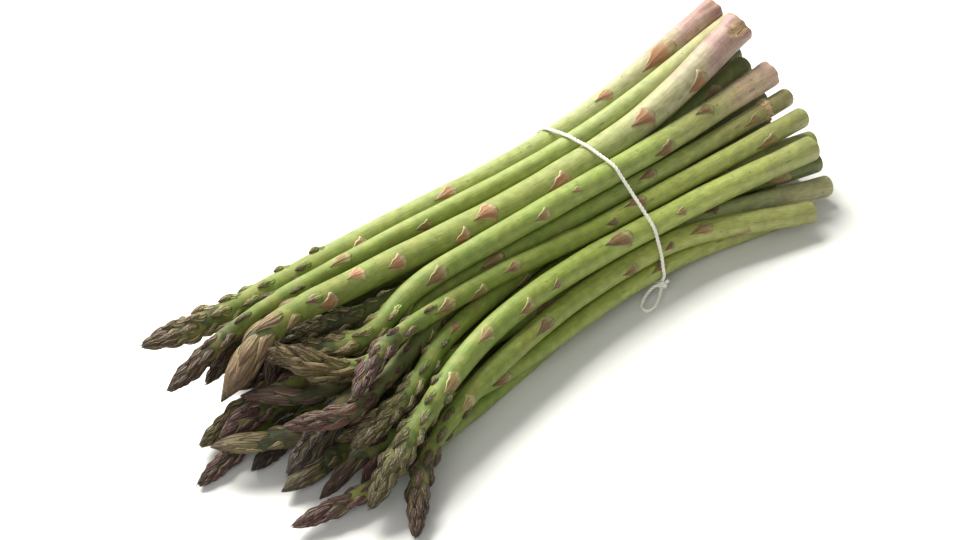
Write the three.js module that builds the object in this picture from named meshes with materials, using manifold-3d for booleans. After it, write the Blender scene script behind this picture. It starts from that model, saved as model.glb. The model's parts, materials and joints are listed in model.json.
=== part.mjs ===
// A bundle of green asparagus, lying down and held by one turn of thin string.
//
// Millimetres. +X runs along the bundle to the cut butts, -X to the heads, +Y to the back and +Z up.
// The spears are laid out through the points they pass in the plane X = 0, next to the string, and
// the whole bundle is then moved so that its box stands centred on the origin.
//
// Every spear is one closed solid: an eight-sided stem with lifted bracts, a head of overlapping
// scales and a cut butt. The string is one solid with its knot and the small loop of its end.

import * as THREE from 'three';
import { mergeVertices } from 'three/addons/utils/BufferGeometryUtils.js';
import Module from 'manifold-3d';

const wasm = await Module();
wasm.setup();

// ---------------------------------------------------------------- driving dimensions

const CENTRE = { x: -42.5, y: -6.1 };   // middle of the laid-out bundle's box, moved to the origin

const SIDES = 8;                        // flat sides of a stem
const FLAT_SHARE = Math.cos(Math.PI / SIDES);   // from the middle line to a flat side, as a share
const HEAD_LENGTH = 36;                 // closed scales, from the neck to the point
const HEAD_STEPS = 10;                  // rows of scales, each two steps long
const HEAD_SHARE = 1.2;                 // how fast the rows get shorter towards the point
const SCALE_LIFT = 0.75;                // height of a scale's free point
const SCALE_SWELL = 0.4;                // height of a scale's middle
const SCALE_FADE = 0.55;                // how much flatter the last scales are than the first
const POINT_STEP = 0.6;                 // a scale's point reaches this far past the next row
const STEM_STEP = 18;                   // longest straight stretch of a stem
const BRACT_LENGTH = 11;
const BRACT_LIFT = 1.0;                 // height of a bract's free point
const LEAST_LIFT = 0.12;                // a bract with less room than this is left out
const UNDER_STRING = 2;                 // a bract this near the string's plane lies under it

// Girth of a stem from the butt to the neck, as shares of its radius: [share of the way, share].
const GIRTH = [[0, 1.1], [0.145, 1.04], [0.54, 1], [0.84, 0.92], [1, 0.82]];
// Girth of a head from the neck to the point, as shares of the neck.
const HEAD_GIRTH = [[0, 1], [0.15, 1.08], [0.38, 1.22], [0.6, 1.16], [0.78, 0.9], [0.9, 0.58], [1, 0.22]];

const STRING_RADIUS = 0.6;
const STRING_SIDES = 6;
const CLEARANCE = 0.3;                  // between the string and the spears
const STEM_GAP = 0.42;                  // between two spears that lie against each other
const TIE_REACH = 14;                   // stretch beside the string where the spears are held up
const TIE_HEIGHT = 2 * STRING_RADIUS + CLEARANCE + 0.15;    // how high they are held there
const FLATTEN = 0.1;                    // how far a spear's lowest side is pressed flat
const TIE_X = -4;                       // plane of the string's turn
const PIECES_ROUND_TIE = 52;
const PIECES_ROUND_STEM = 32;           // points taken round each stem for the string's outline

// The knot: the place, as [y, z], that it is nearest to, and its middle from the string's turn there.
const KNOT = { near: [-30, 5], from: [-0.5, -1.3, -0.4], radius: 1.1, core: 1.35 };
// The small loop and the cut end, from the middle of the knot.
const LOOP = [
  [0, 0, 0], [-2.5, 0.9, 0.4], [-5.6, 1, -0.2], [-9.4, 0, -0.9], [-11.9, -1.6, -1.5],
  [-12, -3.7, -1.8], [-9.5, -4.3, -1.8], [-6.1, -3.3, -1.4], [-3, -1.8, -0.6], [0, 0, 0],
];
const CUT_END = [[0, 0, 0], [1, -0.6, 0.6], [1.7, -1, 1.7]];

// How the spears are settled. push is the share of an overlap that is undone in a round, hold
// draws a joint to where it was laid, sink lowers it, and stiffness keeps a spear's own bend.
// hold and sink rest in the closing rounds. far is how near two spears are to be looked at.
const SETTLE = {
  joints: 30, rounds: 220, closing: 200, refresh: 25, far: 16,
  push: 1.3, hold: 0.012, sink: 0.018, stiffness: 0.3, closingStiffness: 0.09,
};

// The spears. girth is the radius at mid length. butt, via, neck and tip are points on the
// middle line, and tie is where that line crosses the string's plane, as [y, z]. bracts gives
// where bracts stand, as [distance from the butt, angle from the top towards the front].
// A spear without that list gets its bracts by the rule of bractPlaces.
const SPEARS = [
  // upper layer, from the back to the front
  { girth: 4.1, butt: [83, 19, 48], tie: [17, 36.5], via: [-81, 29, 31],
    neck: [-138, 35, 29], tip: [-157, 42, 27],
    bracts: [[30, 25], [58, 15], [95, 200], [128, 35], [164, 70], [186, 190]] },
  { girth: 3.3, butt: [83, 9, 48], tie: [9.5, 38.5], via: [-86, 22, 33.5],
    neck: [-132, 26, 31], tip: [-161, 27, 22],
    bracts: [[40, 200], [100, 230], [145, 75], [175, 10], [193, 160]] },
  { girth: 4.9, butt: [77, 6, 50], tie: [0.5, 35], via: [-98, 10, 36],
    neck: [-130, 14, 34], tip: [-152, 12, 21],
    bracts: [[27, 80], [53, 35], [72, 210], [94, 70], [124, 25], [137, 75], [162, 55], [176, 15],
      [188, 80]] },
  { girth: 4.0, butt: [78, -10, 37], tie: [-6.5, 31], via: [-84, -3, 29],
    neck: [-108, -4, 23], tip: [-132, 14, 19],
    bracts: [[32, 20], [54, 85], [82, 200], [111, 65], [132, 220], [154, 60], [168, 190]] },
  { girth: 3.0, butt: [78, -18, 31], tie: [-11.8, 27], via: [-76, -4, 25],
    neck: [-120, -9.5, 21], tip: [-138, 6.5, 31],
    bracts: [[16, 60], [65, 30], [98, 180], [131, 40], [152, 250], [172, 30]] },
  { girth: 3.3, butt: [77, -25, 26], tie: [-16.5, 23.8], via: [-81, -9, 25],
    neck: [-112, -13, 26], tip: [-133, -21, 21],
    bracts: [[16, 80], [48, 200], [75, 20], [104, 290], [130, 45], [144, 100], [158, 60]] },
  { girth: 4.0, butt: [72, -30, 19], tie: [-20, 20.5], via: [-73, -22, 22],
    neck: [-121, -33, 17], tip: [-146, -40, 7],
    bracts: [[38, 250], [84, 35], [108, 180], [131, 75], [151, 30], [172, 60]] },
  { girth: 3.5, butt: [57, -44, 6], tie: [-23.5, 13], via: [-73, -28, 15],
    neck: [-122, -38, 12], tip: [-143, -54, 5],
    bracts: [[25, 120], [40, 35], [74, 85], [95, 220], [116, 45], [140, 190], [158, 60]] },
  { girth: 2.9, butt: [50, -37, 3], tie: [-25.6, 8], via: [-72, -27.5, 10],
    neck: [-128, -22, 13], tip: [-151, -24, 7] },
  { girth: 2.9, butt: [62, -28, 3.5], tie: [-22.5, 4.4], via: [-68, -27.5, 6],
    neck: [-135, -33, 7], tip: [-163, -26, 5],
    bracts: [[30, 200], [79, 100], [120, 20], [150, 160], [172, 60]] },
  // third layer
  { girth: 3.6, butt: [76, 0, 37], tie: [-0.5, 27], via: [-91, 5, 26],
    neck: [-112, 11, 26], tip: [-130, 19, 26] },
  { girth: 3.8, butt: [82, 9, 36], tie: [8.5, 28], via: [-80, 17, 24],
    neck: [-115, 26, 20], tip: [-134, 14, 9] },
  { girth: 3.8, butt: [80, 20, 35], tie: [18.5, 27.5], via: [-80, 27, 24],
    neck: [-120, 31, 22], tip: [-146, 26, 15] },
  // second layer
  { girth: 3.3, butt: [79, -31, 17], tie: [-11, 20], via: [-87, -13, 20],
    neck: [-112, -19, 18], tip: [-142, -22.5, 17] },
  { girth: 3.2, butt: [79, -7, 25], tie: [-2.8, 20], via: [-80, -6, 20],
    neck: [-132, -18, 18], tip: [-149.5, -8, 17] },
  { girth: 3.3, butt: [84, 6, 24], tie: [6, 20], via: [-80, 3, 19],
    neck: [-125, -7, 15], tip: [-145, 10, 15] },
  { girth: 4.0, butt: [80, 18, 24], tie: [15.5, 20.5], via: [-80, 22, 18],
    neck: [-118, 26, 18], tip: [-138, 20, 14] },
  { girth: 3.4, butt: [75, -38, 6], tie: [-16, 12.8], via: [-100, -18, 17],
    neck: [-113, -23, 15], tip: [-136, -17, 12] },
  { girth: 4.3, butt: [77, -11, 15], tie: [-6.5, 12.8], via: [-80, -9, 13],
    neck: [-126, -8, 14], tip: [-155, -13, 8] },
  { girth: 3.6, butt: [83, 3, 15], tie: [2.8, 12.8], via: [-80, 0, 13],
    neck: [-133, -9, 12], tip: [-161, 8, 12] },
  { girth: 4.2, butt: [78, 14, 15], tie: [12, 12.8], via: [-80, 10, 13],
    neck: [-128, 9, 16], tip: [-156, 11, 9] },
  { girth: 3.9, butt: [80, 26, 15], tie: [21.5, 12.8], via: [-70, 27, 13],
    neck: [-105, 31, 13], tip: [-134, 33, 10] },
  { girth: 3.2, butt: [77, -33, 12], tie: [-15, 16.5], via: [-85, -12, 15],
    neck: [-115, -8, 12], tip: [-140, -3, 11],
    bracts: [[14, 90], [50, 220], [84, 30], [120, 160], [150, 40]] },
  // lowest layer
  { girth: 3.7, butt: [78, -21, 6], tie: [-15.5, 5.3], via: [-80, -20, 6],
    neck: [-118, -20, 12], tip: [-140, -31, 8] },
  { girth: 4.0, butt: [82, -12, 6], tie: [-7.8, 5.3], via: [-80, -14, 5],
    neck: [-126, -17, 6], tip: [-155, -17, 6] },
  { girth: 3.7, butt: [76, -3, 6], tie: [0.7, 5.3], via: [-80, -5, 5],
    neck: [-126, -4, 8], tip: [-155, -8, 6] },
  { girth: 3.0, butt: [84, 8, 6], tie: [8.3, 5.3], via: [-80, 4, 5],
    neck: [-136, 3, 7], tip: [-169, 1, 4] },
  { girth: 3.7, butt: [79, 18, 6], tie: [16, 5.3], via: [-80, 14, 5],
    neck: [-130, 17, 10], tip: [-159, 16, 7] },
  { girth: 3.8, butt: [82, 29, 6], tie: [24.3, 5.3], via: [-70, 29, 5],
    neck: [-104, 31, 6], tip: [-133, 30, 5] },
];

// ---------------------------------------------------------------- small helpers

/** Straight-line reading of a table of [place, value] pairs. */
function readTable(table, place) {
  const next = table.findIndex(([p]) => p >= place);
  if (next <= 0) return next === 0 ? table[0][1] : table[table.length - 1][1];
  const [p0, v0] = table[next - 1];
  const [p1, v1] = table[next];
  return v0 + (v1 - v0) * (place - p0) / (p1 - p0);
}

/** A smooth curve through points. */
function smoothCurve(points, closed = false) {
  return new THREE.CatmullRomCurve3(points, closed, 'centripetal');
}

/** Radius of a spear at a distance from its butt. */
function radiusAt(spear, along) {
  const headStart = spear.length - HEAD_LENGTH;
  if (along <= headStart) return spear.girth * readTable(GIRTH, along / headStart);
  const neck = spear.girth * readTable(GIRTH, 1);
  return neck * readTable(HEAD_GIRTH, (along - headStart) / HEAD_LENGTH);
}

/** Room that a spear takes round its middle line: its radius, with the scales on its head. */
function reachAt(spear, along) {
  const headStart = spear.length - HEAD_LENGTH;
  return radiusAt(spear, along) + (along > headStart + 2 ? SCALE_LIFT * 0.9 : 0);
}

// ---------------------------------------------------------------- laying the spears

/** The middle line as it is first laid, as equally spaced joints. */
function layLine(spear) {
  const points = [spear.butt, [0, ...spear.tie], spear.via, spear.neck, spear.tip];
  const curve = smoothCurve(points.map((p) => new THREE.Vector3(...p)));
  curve.arcLengthDivisions = 400;
  spear.length = curve.getLength();
  return curve.getSpacedPoints(SETTLE.joints);
}

/** Nearest place on the stretch a-b to the point p, as a share of the stretch. */
function nearestShare(p, a, b) {
  const ab = b.clone().sub(a);
  return THREE.MathUtils.clamp(p.clone().sub(a).dot(ab) / ab.lengthSq(), 0, 1);
}

/** Joints of one line and stretches of another that can come to touch each other. */
function findNeighbours(lines) {
  const pairs = [];
  lines.forEach((line, i) => line.forEach((p, k) => {
    lines.forEach((other, j) => {
      if (i === j) return;
      for (let s = 0; s + 1 < other.length; s += 1) {
        if (Math.abs(p.x - other[s].x) >= SETTLE.far) continue;
        if (p.distanceTo(other[s]) < SETTLE.far + 4) pairs.push([i, k, j, s]);
      }
    });
  }));
  return pairs;
}

/** Presses the spears apart until none overlaps, lets them sink together, and keeps them smooth. */
function settle(spears) {
  const lines = spears.map(layLine);
  const first = lines.map((line) => line.map((p) => p.clone()));
  const reach = spears.map((s) => first[0].map((_, k) => reachAt(s, s.length * k / SETTLE.joints)));
  let pairs = [];
  for (let round = 0; round < SETTLE.rounds + SETTLE.closing; round += 1) {
    const closing = round >= SETTLE.rounds;
    if (round % SETTLE.refresh === 0) pairs = findNeighbours(lines);
    const moves = lines.map((line) => line.map(() => ({ by: new THREE.Vector3(), count: 0 })));
    for (const [i, k, j, s] of pairs) {
      const p = lines[i][k];
      const a = lines[j][s];
      const b = lines[j][s + 1];
      const t = nearestShare(p, a, b);
      const away = p.clone().sub(a).addScaledVector(b.clone().sub(a), -t);
      const distance = away.length();
      const wanted = reach[i][k] + reach[j][s] * (1 - t) + reach[j][s + 1] * t + STEM_GAP;
      if (distance >= wanted || distance < 1e-6) continue;
      away.multiplyScalar(0.5 * (wanted - distance) / distance);
      moves[i][k].by.add(away);
      moves[i][k].count += 1;
      moves[j][s].by.addScaledVector(away, -(1 - t));
      moves[j][s].count += 1 - t;
      moves[j][s + 1].by.addScaledVector(away, -t);
      moves[j][s + 1].count += t;
    }
    lines.forEach((line, i) => {
      line.forEach((p, k) => {
        const { by, count } = moves[i][k];
        if (count > 0) p.addScaledVector(by, SETTLE.push / Math.max(count, 1));
        if (!closing) {
          p.lerp(first[i][k], SETTLE.hold);
          p.z -= SETTLE.sink;
        }
      });
      const shift = line.map((p, k) => p.clone().sub(first[i][k]));
      const stiffness = closing ? SETTLE.closingStiffness : SETTLE.stiffness;
      line.forEach((p, k) => {
        const before = shift[Math.max(k - 1, 0)];
        const after = shift[Math.min(k + 1, line.length - 1)];
        p.addScaledVector(before.clone().add(after).multiplyScalar(0.5).sub(shift[k]), stiffness);
        const floor = Math.abs(p.x) < TIE_REACH ? TIE_HEIGHT : -FLATTEN;
        p.z = Math.max(p.z, reach[i][k] * FLAT_SHARE + floor);
      });
    });
  }
  spears.forEach((spear, i) => {
    spear.line = smoothCurve(lines[i]);
    spear.line.arcLengthDivisions = 600;
    spear.length = spear.line.getLength();
    spear.joints = lines[i];
    spear.reach = reach[i];
  });
}

// ---------------------------------------------------------------- a spear's solid

/** Point, direction and two cross directions of a spear's middle line, at a distance from the butt. */
function frameAt(spear, along) {
  const share = THREE.MathUtils.clamp(along / spear.length, 0, 1);
  const point = spear.line.getPointAt(share);
  const forward = spear.line.getTangentAt(share);
  const up = new THREE.Vector3(0, 0, 1);
  up.addScaledVector(forward, -up.dot(forward)).normalize();
  const front = new THREE.Vector3().crossVectors(up, forward);
  return { point, forward, up, front };
}

/** Outward direction at an angle round the stem: 0 is the top and 90 degrees the front. */
function outwardAt(frame, degrees) {
  const angle = THREE.MathUtils.degToRad(degrees);
  return frame.up.clone().multiplyScalar(Math.cos(angle)).addScaledVector(frame.front, Math.sin(angle));
}

const columnAngle = (column) => (column + 0.5) * 360 / SIDES;
const wrap = (column) => (column + SIDES) % SIDES;

/** Distance from a point to the nearest other spear's surface, or to the surface it lies on. */
function roomAt(point, spear, spears) {
  let room = point.z;
  for (const other of spears) {
    if (other === spear) continue;
    other.joints.slice(1).forEach((b, s) => {
      const a = other.joints[s];
      if (Math.abs(a.x - point.x) > SETTLE.far) return;
      const t = nearestShare(point, a, b);
      const reach = other.reach[s] * (1 - t) + other.reach[s + 1] * t;
      room = Math.min(room, point.distanceTo(a.clone().lerp(b, t)) - reach);
    });
  }
  return room;
}

/** Where a spear's bracts stand, as [distance from the butt, angle], wider apart towards the butt. */
function bractPlaces(spear, index) {
  const places = [];
  let along = 14 + (index * 7) % 17;
  let angle = (index * 77) % 360;
  while (along + BRACT_LENGTH < spear.length - HEAD_LENGTH - 2) {
    places.push([along, angle]);
    along += Math.max(BRACT_LENGTH + 3, 34 - along * 0.11);
    angle = (angle + 137.5) % 360;
  }
  return places;
}

/** Distances of the stem's rings: both ends of each bract, and enough between for the bends. */
function ringPlaces(bracts, headStart) {
  const fixed = [0, ...bracts.flatMap(([along]) => [along, along + BRACT_LENGTH]), headStart];
  const rings = [0];
  for (const place of fixed.slice(1)) {
    const last = rings[rings.length - 1];
    const parts = Math.ceil((place - last) / STEM_STEP);
    for (let part = 1; part < parts; part += 1) rings.push(last + (place - last) * part / parts);
    rings.push(place);
  }
  return rings;
}

/** Collects a closed mesh's points and triangles. */
class Skin {
  constructor() {
    this.points = [];
    this.faces = [];
  }

  /** Adds a point, no lower than the surface that the bundle lies on. */
  point(v) {
    this.points.push(v.x, v.y, Math.max(v.z, 0));
    return this.points.length / 3 - 1;
  }

  face(...corners) {
    this.faces.push(...corners);
  }

  geometry() {
    const geometry = new THREE.BufferGeometry();
    geometry.setAttribute('position', new THREE.Float32BufferAttribute(this.points, 3));
    geometry.setIndex(this.faces);
    geometry.computeVertexNormals();
    return geometry;
  }
}

/** One ring of points round the stem. */
function addRing(skin, spear, along) {
  const frame = frameAt(spear, along);
  const radius = radiusAt(spear, along);
  return Array.from({ length: SIDES }, (_, column) => (
    skin.point(frame.point.clone().addScaledVector(outwardAt(frame, columnAngle(column)), radius))));
}

/** A point lifted from the stem's surface. */
function addLifted(skin, spear, along, column, lift) {
  const frame = frameAt(spear, along);
  const radius = radiusAt(spear, along) + lift;
  return skin.point(frame.point.clone().addScaledVector(outwardAt(frame, columnAngle(column)), radius));
}

/** How far a bract's point may stand out: half the room there, and hardly at all under the string. */
function bractLift(spear, spears, along, column) {
  const tip = frameAt(spear, along + BRACT_LENGTH);
  const base = frameAt(spear, along);
  const outward = outwardAt(tip, columnAngle(column));
  const surface = tip.point.clone().addScaledVector(outward, radiusAt(spear, along));
  const underString = base.point.x > TIE_X - UNDER_STRING && tip.point.x < TIE_X + UNDER_STRING;
  const most = underString ? CLEARANCE / 2 : BRACT_LIFT;
  return Math.min(most, 0.5 * roomAt(surface, spear, spears));
}

/** Closes the strip between two rings, with a lifted bract where one is given. */
function addStemStrip(skin, ringA, ringB, bract) {
  for (let j = 0; j < SIDES; j += 1) {
    const next = wrap(j + 1);
    if (bract && j === wrap(bract.column - 1)) {
      skin.face(ringA[j], ringB[j], ringB[next]);
      skin.face(ringA[j], bract.point, ringA[next]);
      skin.face(bract.point, ringA[j], ringB[next]);
    } else if (bract && j === bract.column) {
      skin.face(ringA[next], ringB[j], ringB[next]);
      skin.face(ringA[j], bract.point, ringA[next]);
      skin.face(ringA[next], bract.point, ringB[j]);
    } else {
      skin.face(ringA[j], ringB[j], ringB[next]);
      skin.face(ringA[j], ringB[next], ringA[next]);
    }
  }
}

/** The head: rows of scales in turn, each rising from under the points of the row before. */
function addHead(skin, spear, neckRing) {
  const headStart = spear.length - HEAD_LENGTH;
  const place = (row) => headStart + (HEAD_LENGTH - 2) * (1 - (1 - row / (HEAD_STEPS + 1)) ** HEAD_SHARE);
  const rings = [neckRing];
  for (let row = 1; row <= HEAD_STEPS; row += 1) {
    const ring = {};
    for (let j = row % 2; j < SIDES; j += 2) ring[j] = addLifted(skin, spear, place(row), j, 0);
    rings.push(ring);
  }
  for (let j = 1; j < SIDES; j += 2) {
    skin.face(neckRing[wrap(j - 1)], rings[1][j], neckRing[j]);
    skin.face(neckRing[j], rings[1][j], neckRing[wrap(j + 1)]);
  }
  for (let row = 0; row + 2 <= HEAD_STEPS; row += 1) {
    const fade = 1 - SCALE_FADE * row / HEAD_STEPS;
    for (let j = row % 2; j < SIDES; j += 2) {
      const foot = rings[row][j];
      const left = rings[row + 1][wrap(j - 1)];
      const right = rings[row + 1][wrap(j + 1)];
      const under = rings[row + 2][j];
      const middle = addLifted(skin, spear, place(row + 1), j, SCALE_SWELL * fade);
      const point = addLifted(skin, spear, place(row + 2) + POINT_STEP, j, SCALE_LIFT * fade);
      skin.face(foot, left, middle);
      skin.face(left, point, middle);
      skin.face(point, right, middle);
      skin.face(right, foot, middle);
      skin.face(point, left, under);
      skin.face(right, point, under);
    }
  }
  const tip = skin.point(frameAt(spear, spear.length).point);
  for (let j = HEAD_STEPS % 2; j < SIDES; j += 2) {
    skin.face(rings[HEAD_STEPS - 1][wrap(j - 1)], tip, rings[HEAD_STEPS][j]);
    skin.face(rings[HEAD_STEPS][j], tip, rings[HEAD_STEPS - 1][wrap(j + 1)]);
  }
}

/** One spear as a closed solid. */
function spearGeometry(spear, spears) {
  const skin = new Skin();
  const headStart = spear.length - HEAD_LENGTH;
  const bracts = new Map(spear.bracts.map(([along, angle]) => [along, angle]));
  const places = ringPlaces(spear.bracts, headStart);
  const rings = places.map((along) => addRing(skin, spear, along));
  for (let j = 1; j + 1 < SIDES; j += 1) skin.face(rings[0][0], rings[0][j], rings[0][j + 1]);
  places.slice(0, -1).forEach((along, i) => {
    let bract = null;
    if (bracts.has(along)) {
      const column = wrap(Math.round(bracts.get(along) / 360 * SIDES - 0.5));
      const lift = bractLift(spear, spears, along, column);
      if (lift > LEAST_LIFT) {
        bract = { column, point: addLifted(skin, spear, along + BRACT_LENGTH, column, lift) };
      }
    }
    addStemStrip(skin, rings[i], rings[i + 1], bract);
  });
  addHead(skin, spear, rings[rings.length - 1]);
  return skin.geometry();
}

// ---------------------------------------------------------------- the string

/** Where the string's middle line lies: the tight outline of the spears' sections, as [y, z]. */
function tieOutline(spears) {
  const offset = STRING_RADIUS + CLEARANCE;
  const points = spears.flatMap((spear) => {
    const k = spear.joints.findIndex((p) => p.x < TIE_X);
    const before = spear.joints[k - 1].x;
    const share = (before - TIE_X) / (before - spear.joints[k].x);
    const along = spear.length * (k - 1 + share) / SETTLE.joints;
    const { point, forward } = frameAt(spear, along);
    const radius = radiusAt(spear, along) / Math.abs(forward.x) + offset;
    return Array.from({ length: PIECES_ROUND_STEM }, (_, i) => {
      const angle = i / PIECES_ROUND_STEM * 2 * Math.PI;
      return [point.y + radius * Math.cos(angle), point.z + radius * Math.sin(angle)];
    });
  });
  points.sort((a, b) => a[0] - b[0] || a[1] - b[1]);
  const turn = (o, a, b) => (a[0] - o[0]) * (b[1] - o[1]) - (a[1] - o[1]) * (b[0] - o[0]);
  const half = (list) => {
    const chain = [];
    for (const p of list) {
      while (chain.length > 1 && turn(chain.at(-2), chain.at(-1), p) <= 0) chain.pop();
      chain.push(p);
    }
    return chain.slice(0, -1);
  };
  return [...half(points), ...half(points.slice().reverse())];
}

/** Points at equal steps along a closed outline. */
function evenly(outline, count) {
  const closed = [...outline, outline[0]];
  const lengths = closed.slice(1).map((p, i) => Math.hypot(p[0] - closed[i][0], p[1] - closed[i][1]));
  const total = lengths.reduce((sum, length) => sum + length, 0);
  return Array.from({ length: count }, (_, n) => {
    let left = total * n / count;
    let i = 0;
    while (left > lengths[i]) {
      left -= lengths[i];
      i += 1;
    }
    const share = left / lengths[i];
    const [y, z] = [0, 1].map((c) => closed[i][c] + (closed[i + 1][c] - closed[i][c]) * share);
    return new THREE.Vector3(TIE_X, y, z);
  });
}

/** A round tube along points, closed on itself or with flat ends. */
function tubeGeometry(points, closed) {
  const curve = smoothCurve(points, closed);
  const steps = closed ? points.length : 2 * points.length;
  const frames = curve.computeFrenetFrames(steps, closed);
  const skin = new Skin();
  const rings = Array.from({ length: closed ? steps : steps + 1 }, (_, i) => {
    const middle = curve.getPointAt(i / steps);
    return Array.from({ length: STRING_SIDES }, (_unused, j) => {
      const angle = j / STRING_SIDES * 2 * Math.PI;
      const outward = frames.normals[i].clone().multiplyScalar(Math.cos(angle));
      outward.addScaledVector(frames.binormals[i], Math.sin(angle));
      return skin.point(middle.clone().addScaledVector(outward, STRING_RADIUS));
    });
  });
  const last = rings.length - 1;
  for (let i = 0; i < (closed ? rings.length : last); i += 1) {
    const ringA = rings[i];
    const ringB = rings[(i + 1) % rings.length];
    for (let j = 0; j < STRING_SIDES; j += 1) {
      const next = (j + 1) % STRING_SIDES;
      skin.face(ringA[j], ringA[next], ringB[next]);
      skin.face(ringA[j], ringB[next], ringB[j]);
    }
  }
  if (!closed) {
    for (let j = 1; j + 1 < STRING_SIDES; j += 1) {
      skin.face(rings[0][0], rings[0][j + 1], rings[0][j]);
      skin.face(rings[last][0], rings[last][j], rings[last][j + 1]);
    }
  }
  return skin.geometry();
}

/** A closed mesh as a solid that can be joined to others. */
function toSolid(geometry) {
  const bare = geometry.clone();
  bare.deleteAttribute('normal');
  bare.deleteAttribute('uv');
  const merged = mergeVertices(bare, 1e-4);
  return new wasm.Manifold(new wasm.Mesh({
    numProp: 3,
    vertProperties: new Float32Array(merged.attributes.position.array),
    triVerts: new Uint32Array(merged.index.array),
  }));
}

/** A joined solid as a three.js geometry. */
function toGeometry(solid) {
  const mesh = solid.getMesh();
  const geometry = new THREE.BufferGeometry();
  geometry.setAttribute('position', new THREE.BufferAttribute(mesh.vertProperties, 3));
  geometry.setIndex(new THREE.BufferAttribute(mesh.triVerts, 1));
  geometry.computeVertexNormals();
  return geometry;
}

/** A turn of string in the knot: a ring of string round an axis. */
function knotTurn(centre, axis, radius) {
  const geometry = new THREE.TorusGeometry(radius, STRING_RADIUS, STRING_SIDES, 2 * STRING_SIDES);
  const lying = new THREE.Vector3(0, 0, 1);
  const turn = new THREE.Quaternion().setFromUnitVectors(lying, axis.clone().normalize());
  return geometry.applyQuaternion(turn).translate(centre.x, centre.y, centre.z);
}

/** The string: its turn round the bundle, the knot at the front, the small loop and the cut end. */
function stringGeometry(spears) {
  const outline = evenly(tieOutline(spears), PIECES_ROUND_TIE);
  const aim = new THREE.Vector3(TIE_X, ...KNOT.near);
  const place = outline.reduce((best, p) => (p.distanceTo(aim) < best.distanceTo(aim) ? p : best));
  const knot = place.clone().add(new THREE.Vector3(...KNOT.from));
  const from = (points) => points.map((p) => new THREE.Vector3(...p).add(knot));
  const parts = [
    tubeGeometry(outline, true),
    new THREE.IcosahedronGeometry(KNOT.core, 1).translate(knot.x, knot.y, knot.z),
    knotTurn(knot, new THREE.Vector3(0.2, 0.3, 1), KNOT.radius),
    knotTurn(knot, new THREE.Vector3(1, 0.2, 0.5), KNOT.radius),
    tubeGeometry(from(LOOP), false),
    tubeGeometry(from(CUT_END), false),
  ];
  return toGeometry(parts.map(toSolid).reduce((whole, piece) => whole.add(piece)));
}

// ---------------------------------------------------------------- the bundle

settle(SPEARS);
const bundle = new THREE.Group();
bundle.position.set(-CENTRE.x, -CENTRE.y, 0);

SPEARS.forEach((spear, index) => {
  spear.bracts ??= bractPlaces(spear, index);
  const material = new THREE.MeshStandardMaterial({ color: 0x7f9a3f, roughness: 0.55, metalness: 0 });
  const mesh = new THREE.Mesh(spearGeometry(spear, SPEARS), material);
  mesh.name = `spear_${String(index + 1).padStart(2, '0')}`;
  bundle.add(mesh);
});

const cotton = new THREE.MeshStandardMaterial({ color: 0xe9e4d6, roughness: 0.9, metalness: 0 });
const string = new THREE.Mesh(stringGeometry(SPEARS), cotton);
string.name = 'tie_string';
bundle.add(string);

const group = new THREE.Group();
group.add(bundle);
export default group;
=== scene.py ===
"""A bundle of green asparagus, lying down and held by one turn of thin string.

Lengths are in millimetres while a piece is shaped, and become metres when its mesh is made.
+X runs along the bundle to the cut butts, -X to the heads, +Y to the back and +Z up. The spears
are laid out through the points they pass in the plane X = 0, next to the string, and settled
against each other. The bundle is then moved so that its box is centred on the origin.
"""

import json
import logging
import math
from dataclasses import dataclass, field, replace
from enum import Enum
from typing import Iterable, Mapping, Sequence

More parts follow.
